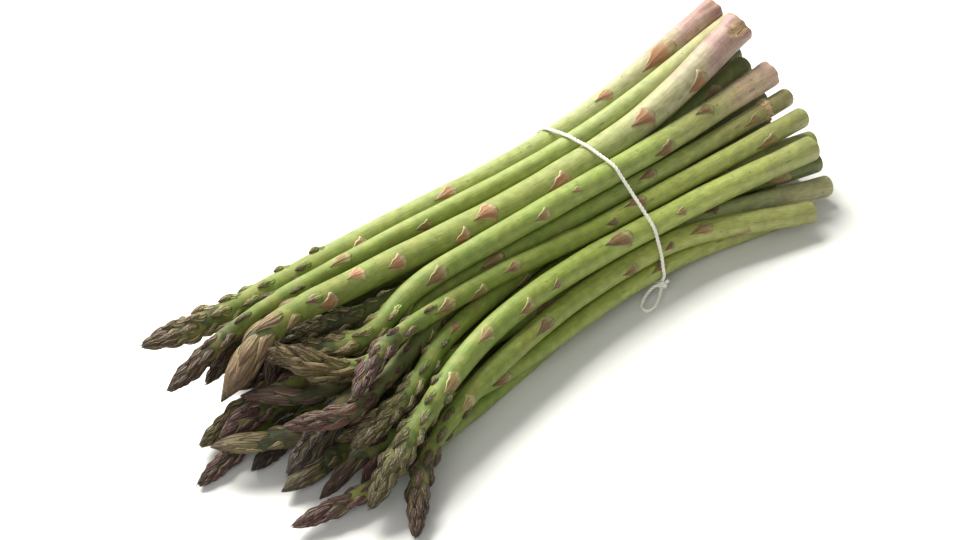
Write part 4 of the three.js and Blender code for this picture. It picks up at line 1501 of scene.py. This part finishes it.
def start_effect(
    name: str, inputs: Mapping[str, float], output: str
) -> tuple[NodeBoard, Mapping[str, Socket], Node]:
    """Starts a shader node group that reads a place and puts out a value.

    Args:
        name: Name of the group.
        inputs: Its number inputs with their usual values; Place is added to them.
        output: Its value output.

    Returns:
        A board to build it on, what it is given, and the node that takes its result.
    """
    tree = bpy.data.node_groups.new(name, "ShaderNodeTree")
    tree.interface.new_socket("Place", in_out="INPUT", socket_type="NodeSocketVector")
    for key, value in inputs.items():
        socket = tree.interface.new_socket(key, in_out="INPUT", socket_type="NodeSocketFloat")
        socket.default_value = value
    tree.interface.new_socket(output, in_out="OUTPUT", socket_type="NodeSocketFloat")
    board = NodeBoard(tree)
    return board, board.node("NodeGroupInput").outputs, board.node("NodeGroupOutput")


def make_fibre_group() -> Tree:
    """Makes fine streaks that run along a spear.

    Returns:
        The group, which puts out a value round 0.5.
    """
    board, given, result = start_effect(
        "fibre streaks", {"Scale": 1.0, "Stretch": 14.0, "Detail": 3.0}, "Streak")
    thin = board.math("DIVIDE", given["Scale"], given["Stretch"])
    place = board.stretched(given["Place"], (given["Scale"], given["Scale"], thin))
    noise = board.node("ShaderNodeTexNoise", {"Vector": place, "Scale": 1.0, "Detail": given["Detail"]})
    board.feed(result, {"Streak": noise.outputs[0]})
    return board.tree


def make_mottle_group() -> Tree:
    """Makes soft patches of colour.

    Returns:
        The group, which puts out a value from 0 to 1.
    """
    board, given, result = start_effect("soft mottle", {"Scale": 0.1, "Low": 0.4, "High": 0.65}, "Patch")
    noise = board.node(
        "ShaderNodeTexNoise", {"Vector": given["Place"], "Scale": given["Scale"], "Detail": 4.0})
    board.feed(result, {"Patch": board.reach(noise.outputs[0], given["Low"], given["High"])})
    return board.tree


def make_freckle_group() -> Tree:
    """Makes small separate spots. Stretch makes slits of them.

    Returns:
        The group, which puts out 1 in a spot and 0 elsewhere.
    """
    board, given, result = start_effect(
        "freckles", {"Scale": 0.35, "Size": 0.16, "Share": 0.3, "Stretch": 1.0}, "Spot")
    place = board.stretched(given["Place"], (1.0, 1.0, board.math("DIVIDE", 1.0, given["Stretch"])))
    cells = board.node("ShaderNodeTexVoronoi", {"Vector": place, "Scale": given["Scale"]})
    near = board.math("LESS_THAN", cells.outputs["Distance"], given["Size"])
    split = board.node("ShaderNodeSeparateColor", (cells.outputs["Color"],))
    chosen = board.math("LESS_THAN", split.outputs[0], given["Share"])
    board.feed(result, {"Spot": board.times(near, chosen)})
    return board.tree


RAMP_SHARE = 0.8  # the neck's place on a skin's colours, which run on into the head


@dataclass(frozen=True)
class SkinFinish:
    """Finish of a stem's skin."""

    stops: Stops  # colours from the butt to the inside of the head; the last, near black, is painted shade on the head's core under its scales
    blush: Colour = (0.3, 0.12, 0.13)  # colour of the streaks near the butt
    blush_share: float = 0.35  # how strong they are
    spot: Colour = (0.12, 0.13, 0.03)  # colour of the freckles and slits
    ripe: Colour = (0.3, 0.29, 0.06)  # colour of the patches nearer to the head
    wax: Colour = (0.55, 0.62, 0.3)  # colour of the pale streaks
    groove: Colour = (0.09, 0.14, 0.02)  # colour of the dark streaks
    # Dry fibres in a hollow, from the dark gaps to the pale strings.
    fibres: Stops = ((0.34, (0.11, 0.05, 0.02)), (0.47, (0.38, 0.23, 0.09)), (0.63, (0.7, 0.56, 0.33)))
    roughness: float = 0.46  # roughness of the waxy skin
    coat: float = 0.12  # strength of its gloss
    saturation: float = 0.98  # strength of its colours


@dataclass(frozen=True)
class LeafFinish:
    """Finish of bracts or scales."""

    stops: Stops  # colours from the base to the point
    other: Colour  # colour of the patches
    vein: Colour  # colour of the veins, and painted shade between the ribs
    edge: Colour  # colour of the pale edges, and painted highlight on the ribs' crests
    edge_share: float = 0.85  # how strong it is at the edges
    ribs: float = 14.0  # how close the ribs are
    groove_shade: float = 0.7  # how strong the painted shade is between them
    bump: float = 0.4  # how high they are
    spread: float = 0.2  # how much lighter or darker one leaf is than the next
    fresh: float = 1.0  # how green the bases of the lower scales are
    fresh_green: Colour = (0.17, 0.25, 0.045)  # that green
    tip: Colour = (0.04, 0.025, 0.02)  # colour at the head's own point
    tip_share: float = 0.3  # how strong it is
    roughness: float = 0.48  # roughness between the veins
    light: float = 1.26  # how light the leaves are; lower on the brown, purple and dark heads, partly as painted shade for heads that lie under others
    vein_scale: float = 3.4  # how fine the veins are


@dataclass(frozen=True)
class CutFinish:
    """Finish of a butt's cut face."""

    # Colours from the middle to the rim.
    flesh: Stops = (
        (0.0, (0.42, 0.36, 0.16)), (0.55, (0.5, 0.45, 0.22)), (0.88, (0.48, 0.44, 0.22)),
        (1.0, (0.34, 0.36, 0.15)),
    )
    dry: Colour = (0.32, 0.22, 0.09)  # colour of the dried patches
    strings: Colour = (0.26, 0.19, 0.08)  # colour of the darker strings in it


@dataclass(frozen=True)
class StringFinish:
    """Finish of the cotton string: its two creams, and the colour between its fibres."""

    light: Colour = (0.96, 0.94, 0.87)
    cream: Colour = (0.91, 0.88, 0.78)
    shadow: Colour = (0.6, 0.54, 0.42)


@dataclass(frozen=True)
class FloorFinish:
    """Finish of the pale floor: its two whites."""

    light: Colour = (0.86, 0.86, 0.83)
    dark: Colour = (0.84, 0.84, 0.81)


# Each skin's last stop, near black, is painted shade on the head's core under the scales.
STEM_FINISHES: dict[StemTone, SkinFinish] = {
    BLUSHED: SkinFinish((
        (0.0, (0.5, 0.31, 0.25)), (0.05, (0.55, 0.38, 0.33)), (0.11, (0.52, 0.46, 0.32)),
        (0.2, (0.46, 0.46, 0.25)), (0.32, (0.4, 0.44, 0.165)), (0.5, (0.33, 0.38, 0.105)),
        (0.68, (0.26, 0.32, 0.07)), (0.84, (0.17, 0.22, 0.045)), (0.895, (0.04, 0.035, 0.02)),
    ), blush=(0.37, 0.13, 0.2), blush_share=1.0),
    ROSY: SkinFinish((
        (0.0, (0.64, 0.44, 0.38)), (0.05, (0.62, 0.45, 0.34)), (0.09, (0.5, 0.43, 0.23)),
        (0.16, (0.38, 0.38, 0.15)), (0.28, (0.33, 0.39, 0.11)), (0.5, (0.29, 0.36, 0.08)),
        (0.7, (0.22, 0.29, 0.055)), (0.84, (0.15, 0.2, 0.04)), (0.895, (0.035, 0.03, 0.018)),
    ), blush=(0.43, 0.22, 0.2), blush_share=0.7),
    PALE: SkinFinish((
        (0.0, (0.44, 0.4, 0.23)), (0.12, (0.46, 0.46, 0.24)), (0.3, (0.37, 0.42, 0.15)),
        (0.5, (0.31, 0.36, 0.085)), (0.7, (0.22, 0.28, 0.055)), (0.84, (0.16, 0.2, 0.04)),
        (0.895, (0.035, 0.03, 0.018)),
    )),
    GREEN: SkinFinish((
        (0.0, (0.38, 0.4, 0.15)), (0.1, (0.45, 0.48, 0.15)), (0.3, (0.39, 0.44, 0.105)),
        (0.5, (0.27, 0.33, 0.057)), (0.7, (0.2, 0.27, 0.045)), (0.84, (0.14, 0.18, 0.035)),
        (0.895, (0.032, 0.028, 0.016)),
    )),
    OLIVE: SkinFinish((
        (0.0, (0.3, 0.25, 0.11)), (0.1, (0.34, 0.31, 0.12)), (0.25, (0.34, 0.38, 0.11)),
        (0.45, (0.26, 0.32, 0.06)), (0.7, (0.2, 0.26, 0.045)), (0.84, (0.15, 0.18, 0.035)),
        (0.895, (0.035, 0.03, 0.018)),
    ), blush=(0.36, 0.27, 0.16), blush_share=0.8),
    DEEP: SkinFinish((
        (0.0, (0.13, 0.15, 0.055)), (0.1, (0.17, 0.2, 0.06)), (0.25, (0.25, 0.31, 0.07)),
        (0.5, (0.2, 0.26, 0.045)), (0.7, (0.125, 0.15, 0.033)), (0.84, (0.085, 0.085, 0.028)),
        (0.895, (0.03, 0.026, 0.016)),
    ), blush=(0.2, 0.2, 0.1), ripe=(0.15, 0.11, 0.05)),
}

BRACT_FINISH = LeafFinish(
    stops=((0.0, (0.38, 0.43, 0.13)), (0.1, (0.52, 0.54, 0.26)), (0.22, (0.4, 0.29, 0.13)),
           (0.42, (0.31, 0.16, 0.075)), (0.8, (0.21, 0.105, 0.05)), (1.0, (0.1, 0.06, 0.03))),
    other=(0.3, 0.26, 0.09), vein=(0.18, 0.09, 0.045), edge=(0.42, 0.45, 0.17), edge_share=0.75,
    ribs=9.0, groove_shade=0.25, fresh=0.0, light=0.8, spread=0.28, bump=0.2, vein_scale=4.0,
)

PINK_BRACT_FINISH = replace(
    BRACT_FINISH,
    stops=((0.0, (0.48, 0.46, 0.22)), (0.09, (0.6, 0.54, 0.32)), (0.2, (0.52, 0.32, 0.17)),
           (0.42, (0.45, 0.2, 0.09)), (0.8, (0.31, 0.15, 0.055)), (1.0, (0.15, 0.09, 0.035))),
    other=(0.43, 0.24, 0.12), vein=(0.26, 0.13, 0.06), edge=(0.56, 0.46, 0.27),
    light=0.86, spread=0.22,
)

HUSK_FINISH = LeafFinish(
    stops=((0.0, (0.36, 0.3, 0.12)), (0.3, (0.5, 0.4, 0.19)), (0.7, (0.6, 0.5, 0.28)),
           (1.0, (0.42, 0.27, 0.12))),
    other=(0.4, 0.22, 0.12), vein=(0.28, 0.17, 0.07), edge=(0.72, 0.64, 0.42), edge_share=0.7,
    ribs=7.0, groove_shade=0.3, fresh=0.0, light=1.0, vein_scale=4.0,
)


def head_stops(
    base: Colour, middle: Colour, above: Colour, point: Colour, body: float = 0.35, upper: float = 0.75
) -> Stops:
    """Sets a head's four colours at their places on a scale, from its base to its point."""
    return (0.0, base), (body, middle), (upper, above), (1.0, point)


# The brown, purple and dark heads have a lower light, partly as painted shade for heads that lie under others.
HEAD_FINISHES: dict[HeadTone, LeafFinish] = {
    OLIVE_HEAD: LeafFinish(
        stops=head_stops(
            (0.102, 0.13, 0.025), (0.173, 0.158, 0.051), (0.143, 0.093, 0.047), (0.061, 0.037, 0.025)),
        other=(0.102, 0.056, 0.038), vein=(0.051, 0.033, 0.019), edge=(0.326, 0.26, 0.128), light=1.6,
    ),
    SMOKED_HEAD: LeafFinish(
        stops=head_stops(
            (0.16, 0.19, 0.04), (0.26, 0.25, 0.085), (0.2, 0.14, 0.065), (0.08, 0.05, 0.03)),
        other=(0.15, 0.09, 0.05), vein=(0.07, 0.05, 0.025), edge=(0.4, 0.34, 0.17),
        tip=(0.055, 0.03, 0.022), tip_share=0.85, light=1.3,
    ),
    RUST_HEAD: LeafFinish(
        stops=head_stops(
            (0.09, 0.055, 0.028), (0.14, 0.062, 0.042), (0.11, 0.045, 0.033), (0.05, 0.024, 0.019)),
        other=(0.15, 0.068, 0.05), vein=(0.05, 0.022, 0.017), edge=(0.25, 0.15, 0.1), light=1.08,
    ),
    GREEN_HEAD: LeafFinish(
        stops=head_stops(
            (0.105, 0.15, 0.032), (0.155, 0.17, 0.052), (0.12, 0.088, 0.05), (0.055, 0.034, 0.028)),
        other=(0.11, 0.062, 0.052), vein=(0.043, 0.034, 0.02), edge=(0.34, 0.28, 0.15), light=1.35,
    ),
    TAN_HEAD: LeafFinish(
        stops=head_stops(
            (0.245, 0.233, 0.076), (0.275, 0.195, 0.085), (0.173, 0.107, 0.055), (0.071, 0.042, 0.025),
            body=0.3, upper=0.7),
        other=(0.153, 0.093, 0.051), vein=(0.102, 0.06, 0.034), edge=(0.388, 0.279, 0.153),
        groove_shade=0.5, light=1.15,
    ),
    BROWN_HEAD: LeafFinish(
        stops=head_stops(
            (0.115, 0.11, 0.038), (0.135, 0.084, 0.048), (0.1, 0.056, 0.037), (0.048, 0.027, 0.02)),
        other=(0.145, 0.07, 0.05), vein=(0.046, 0.027, 0.02), edge=(0.3, 0.21, 0.14), light=0.9,
    ),
    PURPLE_HEAD: LeafFinish(
        stops=head_stops(
            (0.13, 0.13, 0.043), (0.165, 0.09, 0.068), (0.13, 0.055, 0.05), (0.058, 0.027, 0.026)),
        other=(0.18, 0.07, 0.07), vein=(0.057, 0.026, 0.023), edge=(0.45, 0.31, 0.24),
        edge_share=0.8, light=0.92,
    ),
    DARK_HEAD: LeafFinish(
        stops=head_stops(
            (0.062, 0.068, 0.024), (0.07, 0.052, 0.032), (0.056, 0.037, 0.029), (0.027, 0.017, 0.014),
            body=0.4),
        other=(0.084, 0.046, 0.038), vein=(0.023, 0.015, 0.012), edge=(0.22, 0.15, 0.11), light=0.85,
    ),
}

CUT_FINISH = CutFinish()

BLUSHED_CUT_FINISH = CutFinish(flesh=(
    (0.0, (0.36, 0.26, 0.1)), (0.5, (0.5, 0.38, 0.2)), (0.85, (0.62, 0.46, 0.36)),
    (1.0, (0.6, 0.42, 0.36)),
))


@dataclass
class Finishes:
    """Makes each material once."""

    made: dict[str, Material] = field(default_factory=dict)  # materials by name
    groups: dict[str, Tree] = field(init=False)  # the shared effects

    def __post_init__(self) -> None:
        """Builds the shared effects."""
        self.groups = {
            "fibre": make_fibre_group(), "mottle": make_mottle_group(), "freckle": make_freckle_group(),
        }

    def _start(self, name: str) -> tuple[Material, NodeBoard, Node]:
        """Starts a material.

        Args:
            name: Its name.

        Returns:
            The material, a board to build it on, and its Principled shader.
        """
        material = bpy.data.materials.new(name)
        material.use_nodes = True
        material.node_tree.nodes.clear()
        board = NodeBoard(material.node_tree)
        shader = board.node("ShaderNodeBsdfPrincipled")
        board.node("ShaderNodeOutputMaterial", (shader.outputs[0],))
        self.made[name] = material
        return material, board, shader

    def _effect(self, board: NodeBoard, name: str, place: Socket, **values: float) -> Socket:
        """Places a shared effect with its own values."""
        inputs = {"Place": place, **values}
        return board.node("ShaderNodeGroup", inputs, node_tree=self.groups[name]).outputs[0]

    @staticmethod
    def _bump(board: NodeBoard, height: Socket, strength: float, distance: float) -> Socket:
        """Raises the surface by a height in millimetres."""
        inputs = {"Strength": strength, "Distance": distance * MM, "Height": height}
        return board.node("ShaderNodeBump", inputs).outputs[0]

    def skin(self, tone: StemTone) -> Material:
        """Makes the waxy skin of a stem.

        Args:
            tone: The stem's colour.

        Returns:
            The material.
        """
        name = f"skin {tone.value}"
        if name in self.made:
            return self.made[name]
        finish = STEM_FINISHES[tone]
        material, board, shader = self._start(name)
        lay, along, tint = board.lay(), board.number("along"), board.number("tint")
        patch = self._effect(board, "mottle", lay, Scale=0.09, Low=0.3, High=0.7)
        wide = self._effect(board, "mottle", lay, Scale=0.16, Low=0.44, High=0.6)
        cloud = self._effect(board, "mottle", lay, Scale=0.3, Low=0.35, High=0.65)
        streak = self._effect(board, "fibre", lay, Scale=2.6, Stretch=22.0, Detail=4.0)
        fine = self._effect(board, "fibre", lay, Scale=6.0, Stretch=30.0, Detail=2.0)
        spots = self._effect(board, "freckle", lay, Scale=0.3, Size=0.13, Share=0.35)
        slits = self._effect(board, "freckle", lay, Scale=0.5, Size=0.2, Share=0.1, Stretch=4.0)
        # The stem's colour along its length, with pale and dark streaks, and painted shade on the head's core under
        # its scales.
        shifted = board.math("ADD", along, board.spread(patch, -0.06, 0.06))
        colour = board.ramp(board.times(shifted, RAMP_SHARE), finish.stops)
        colour = board.blend(board.reach(streak, 0.4, 0.6, 0.0, 0.7), colour, finish.wax, "SOFT_LIGHT")
        colour = board.blend(board.reach(fine, 0.35, 0.6, 0.42, 0.0), colour, finish.groove)
        # The blush near the butt, the riper patches near the head, and the small marks.
        near_butt = board.reach(along, 0.02, 0.3, finish.blush_share, 0.0)
        streaked = board.times(board.reach(streak, 0.4, 0.6), board.spread(wide, 0.3, 1.0))
        colour = board.blend(board.times(near_butt, streaked, clamp=True), colour, finish.blush)
        ripe = board.times(board.reach(along, 0.35, 0.9), board.reach(wide, 0.2, 1.0))
        colour = board.blend(board.times(ripe, 0.45), colour, finish.ripe)
        for marks in (spots, slits):
            colour = board.blend(board.times(marks, 0.5), colour, finish.spot)
        # The spear's own shade, and the fibres in its hollow.
        value = board.times(board.spread(cloud, 0.79, 1.02), board.spread(tint, 0.93, 1.07))
        colour = board.shade(colour, value, board.spread(tint, 0.494, 0.508), finish.saturation)
        worn = board.math("ADD", board.number("worn"), board.spread(cloud, -0.35, 0.35))
        colour = board.blend(board.reach(worn, 0.3, 0.75), colour, board.ramp(fine, finish.fibres))
        rough = board.spread(patch, finish.roughness - 0.06, finish.roughness + 0.1)
        height = board.math("ADD", board.times(streak, 0.7), board.times(fine, 0.3))
        board.feed(shader, {
            "Base Color": colour,
            "Roughness": board.math("ADD", rough, board.reach(along, 0.6, 1.05, 0.0, 0.25)),
            "Coat Roughness": 0.35,
            "Coat Weight": board.reach(along, 0.6, 1.0, finish.coat, 0.0),
            "Specular IOR Level": 0.45,
            "Normal": self._bump(board, height, 0.6, 0.2),
        })
        return material

    def _leaf(self, name: str, finish: LeafFinish) -> Material:
        """Makes the surface of bracts or scales.

        Args:
            name: Name of the material.
            finish: Its finish.

        Returns:
            The material.
        """
        if name in self.made:
            return self.made[name]
        material, board, shader = self._start(name)
        lay, tint = board.lay(), board.number("tint")
        along, grow, edge = (board.number(value) for value in ("along", "grow", "edge"))
        patch = self._effect(board, "mottle", lay, Scale=0.22, Low=0.38, High=0.66)
        blotch = self._effect(board, "mottle", lay, Scale=0.55, Low=0.45, High=0.6)
        vein = self._effect(board, "fibre", lay, Scale=finish.vein_scale, Stretch=16.0, Detail=3.0)
        ribs = board.math("SINE", board.times(edge, finish.ribs))
        # The leaf's colour from its base to its point, with patches.
        shifted = board.math("ADD", grow, board.spread(patch, -0.1, 0.1))
        colour = board.ramp(shifted, finish.stops)
        other = board.times(board.reach(tint, 0.35, 1.0), board.reach(patch, 0.0, 0.8), clamp=True)
        for share in (board.times(other, 0.7), board.times(blotch, 0.45)):
            colour = board.blend(share, colour, finish.other)
        # Dark veins, painted shade in the gaps between its ribs, and painted highlight on their crests.
        gaps = (board.reach(vein, 0.4, 0.62, 0.5, 0.0), board.reach(ribs, -1.0, 0.2, finish.groove_shade, 0.0))
        for gap in gaps:
            colour = board.blend(gap, colour, finish.vein)
        crest = board.times(board.reach(ribs, 0.4, 1.0), board.reach(vein, 0.45, 0.6))
        colour = board.blend(board.times(crest, 0.3), colour, finish.edge)
        # The head's dark point, pale edges, fresh bases low on the head, and the leaf's own shade.
        near_point = board.times(board.reach(along, 1.11, 1.19), finish.tip_share)
        colour = board.blend(near_point, colour, finish.tip)
        rim = board.times(board.reach(edge, 0.76, 0.94), finish.edge_share)
        colour = board.blend(rim, colour, finish.edge)
        low, base = board.reach(along, 0.97, 1.08, 0.85, 0.0), board.reach(grow, 0.1, 0.6, 1.0, 0.0)
        fresh = board.times(board.times(low, base), finish.fresh)
        colour = board.blend(fresh, colour, finish.fresh_green)
        darkest, lightest = ((1.0 + side * finish.spread) * finish.light for side in (-1.0, 1.0))
        height = board.math("ADD", vein, board.times(ribs, 0.35))
        board.feed(shader, {
            "Base Color": board.shade(colour, board.spread(tint, darkest, lightest)),
            "Roughness": board.reach(vein, 0.3, 0.7, finish.roughness + 0.08, finish.roughness - 0.06),
            "Specular IOR Level": 0.35,
            "Normal": self._bump(board, height, 0.85, finish.bump),
        })
        return material

    def bract(self, tone: StemTone) -> Material:
        """A bract on a stem of that tone."""
        if tone is StemTone.BLUSHED:
            return self._leaf("bract pink", PINK_BRACT_FINISH)
        return self._leaf("bract brown", BRACT_FINISH)

    def husk(self) -> Material:
        """Dry skin that has curled up."""
        return self._leaf("husk", HUSK_FINISH)

    def scale(self, tone: HeadTone) -> Material:
        """A scale on a head of that tone."""
        return self._leaf(f"scale {tone.value}", HEAD_FINISHES[tone])

    def cut(self, tone: StemTone) -> Material:
        """Makes the cut face of a butt: pale flesh with darker strings in it.

        Args:
            tone: The stem's colour.

        Returns:
            The material.
        """
        name = f"cut {tone.value}"
        if name in self.made:
            return self.made[name]
        finish = BLUSHED_CUT_FINISH if tone is StemTone.BLUSHED else CUT_FINISH
        material, board, shader = self._start(name)
        lay, tint = board.lay(), board.number("tint")
        patch = self._effect(board, "mottle", lay, Scale=0.5, Low=0.35, High=0.65)
        strings = self._effect(board, "freckle", lay, Scale=1.3, Size=0.3, Share=0.75)
        colour = board.ramp(board.number("grow"), finish.flesh)
        colour = board.blend(board.times(patch, 0.4), colour, finish.dry)
        colour = board.blend(board.times(strings, 0.55), colour, finish.strings)
        value, hue = board.spread(tint, 1.15, 0.78), board.spread(tint, 0.485, 0.515)
        board.feed(shader, {
            "Base Color": board.shade(colour, value, hue),
            "Roughness": board.spread(patch, 0.6, 0.78),
            "Normal": self._bump(board, board.math("SUBTRACT", patch, strings), 0.8, 0.3),
        })
        return material

    def string(self) -> Material:
        """Makes the cream cotton string.

        Returns:
            The material.
        """
        finish = StringFinish()
        material, board, shader = self._start("string cotton")
        lay = board.lay()
        patch = self._effect(board, "mottle", lay, Scale=0.3, Low=0.3, High=0.7)
        fibre = self._effect(board, "fibre", lay, Scale=9.0, Stretch=5.0, Detail=3.0)
        colour = board.blend(patch, finish.light, finish.cream)
        board.feed(shader, {
            "Base Color": board.blend(board.reach(fibre, 0.4, 0.65, 0.28, 0.0), colour, finish.shadow),
            "Roughness": board.reach(fibre, 0.3, 0.7, 0.9, 0.75),
            "Normal": self._bump(board, fibre, 0.7, 0.12),
        })
        return material

    def floor(self) -> Material:
        """Makes the plain pale surface that the bundle lies on.

        Returns:
            The material.
        """
        finish = FloorFinish()
        material, board, shader = self._start("pale floor")
        place = board.node("ShaderNodeTexCoord").outputs["Object"]
        patch = self._effect(board, "mottle", place, Scale=3.0, Low=0.3, High=0.7)
        board.feed(shader, {
            "Base Color": board.blend(patch, finish.light, finish.dark),
            "Roughness": board.spread(patch, 0.55, 0.6),
        })
        return material


# ---- the studio

@dataclass(frozen=True)
class SoftLight:
    """A square soft light that faces the bundle."""

    name: str
    place: Triple  # metres
    size: float  # length of its side, in metres
    power: float  # watts
    colour: Colour

    def add(self) -> None:
        """Adds the light."""
        data = bpy.data.lights.new(self.name, "AREA")
        data.shape = "SQUARE"
        data.size = self.size
        data.energy = self.power
        data.color = self.colour
        lamp = bpy.data.objects.new(self.name, data)
        lamp.location = self.place
        lamp.rotation_mode = "QUATERNION"
        lamp.rotation_quaternion = (-Vector(self.place)).to_track_quat("-Z", "Y")
        bpy.context.scene.collection.objects.link(lamp)


@dataclass
class Studio:
    """The floor, the lights and the camera."""

    azimuth: float = -47.0  # degrees of the camera round the bundle
    elevation: float = 37.0  # degrees of the camera above the floor
    distance: float = 725.0  # from the camera to its target, in millimetres
    target: Triple = (-46.0, 9.6, 10.4)  # what the camera looks at, in the layout
    lens: float = 85.0  # focal length
    sensor: float = 36.0  # width of the camera's sensor
    nearest: float = 0.01  # nothing nearer to the camera shows, in metres
    floor_half: float = 3.0  # half the floor's side, in metres
    surround: Colour = (1.0, 0.985, 0.94)  # colour of the white surround
    surround_light: float = 0.28  # how bright it is
    lights: tuple[SoftLight, ...] = (
        SoftLight("key", (0.1, 0.8, 0.86), 0.75, 34.5, (1.0, 0.985, 0.94)),
        SoftLight("fill", (-0.85, -0.5, 0.65), 0.9, 5.0, (0.97, 0.98, 1.0)),
    )

    def add_camera(self) -> None:
        """Adds the camera."""
        turn, rise = math.radians(self.azimuth), math.radians(self.elevation)
        back = Vector((math.sin(turn) * math.cos(rise), -math.cos(turn) * math.cos(rise), math.sin(rise)))
        target = Vector((self.target[0] - CENTRE[0], self.target[1] - CENTRE[1], self.target[2])) * MM
        data = bpy.data.cameras.new("camera")
        data.lens = self.lens
        data.sensor_width = self.sensor
        data.clip_start = self.nearest
        camera = bpy.data.objects.new("camera", data)
        camera.matrix_world = Matrix.LocRotScale(
            target + back * self.distance * MM, (-back).to_track_quat("-Z", "Y"), None)
        bpy.context.scene.collection.objects.link(camera)
        bpy.context.scene.camera = camera

    def add_floor(self, finishes: Finishes) -> None:
        """Adds the plain pale floor.

        Args:
            finishes: Where its material comes from.
        """
        half = self.floor_half
        mesh = bpy.data.meshes.new("floor")
        corners = [(-half, -half, 0.0), (half, -half, 0.0), (half, half, 0.0), (-half, half, 0.0)]
        mesh.from_pydata(corners, [], [(0, 1, 2, 3)])
        mesh.materials.append(finishes.floor())
        floor = bpy.data.objects.new("floor", mesh)
        bpy.context.scene.collection.objects.link(floor)
        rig.stage(floor)

    def add_lights(self) -> None:
        """Adds the white surround and the soft lights."""
        world = bpy.data.worlds.new("surround")
        bpy.context.scene.world = world
        world.use_nodes = True
        board = NodeBoard(world.node_tree)
        background = world.node_tree.nodes.get("Background") or board.node("ShaderNodeBackground")
        board.feed(background, (self.surround, self.surround_light))
        for light in self.lights:
            light.add()
        bpy.context.scene.view_settings.view_transform = "Standard"


# ---- the bundle

def main() -> None:
    """Builds the bundle and its studio, and writes the sizes down."""
    logging.basicConfig(level=logging.INFO, format="%(name)s: %(message)s")
    finishes = Finishes()
    studio = Studio()
    studio.add_camera()
    studio.add_floor(finishes)
    studio.add_lights()
    spears = Settling().run(SPEARS)
    for laid in spears:
        piece = Spear(laid).build(finishes)
        low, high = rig.box(f"spear_{laid.number:02d}")
        own_low, own_high = (np.array(c) for c in (piece.bound_box[0], piece.bound_box[6]))
        apart = max(np.abs(own_low - low).max(), np.abs(own_high - high).max()) / MM
        log.info("%s: %d faces, box differs by %.1f mm", piece.name, len(piece.data.polygons), apart)
    tie = Tie(spears).build(finishes)
    log.info("%s: %d faces, in the frame %s", tie.name, len(tie.data.polygons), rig.box("tie_string"))
    sizes = {"cad": [list(c) for c in CAD_BOX], "visual": [list(c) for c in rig.bounds()]}
    with open("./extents.json", "w", encoding="utf-8") as file:
        json.dump(sizes, file)


if __name__ == "__main__":
    main()
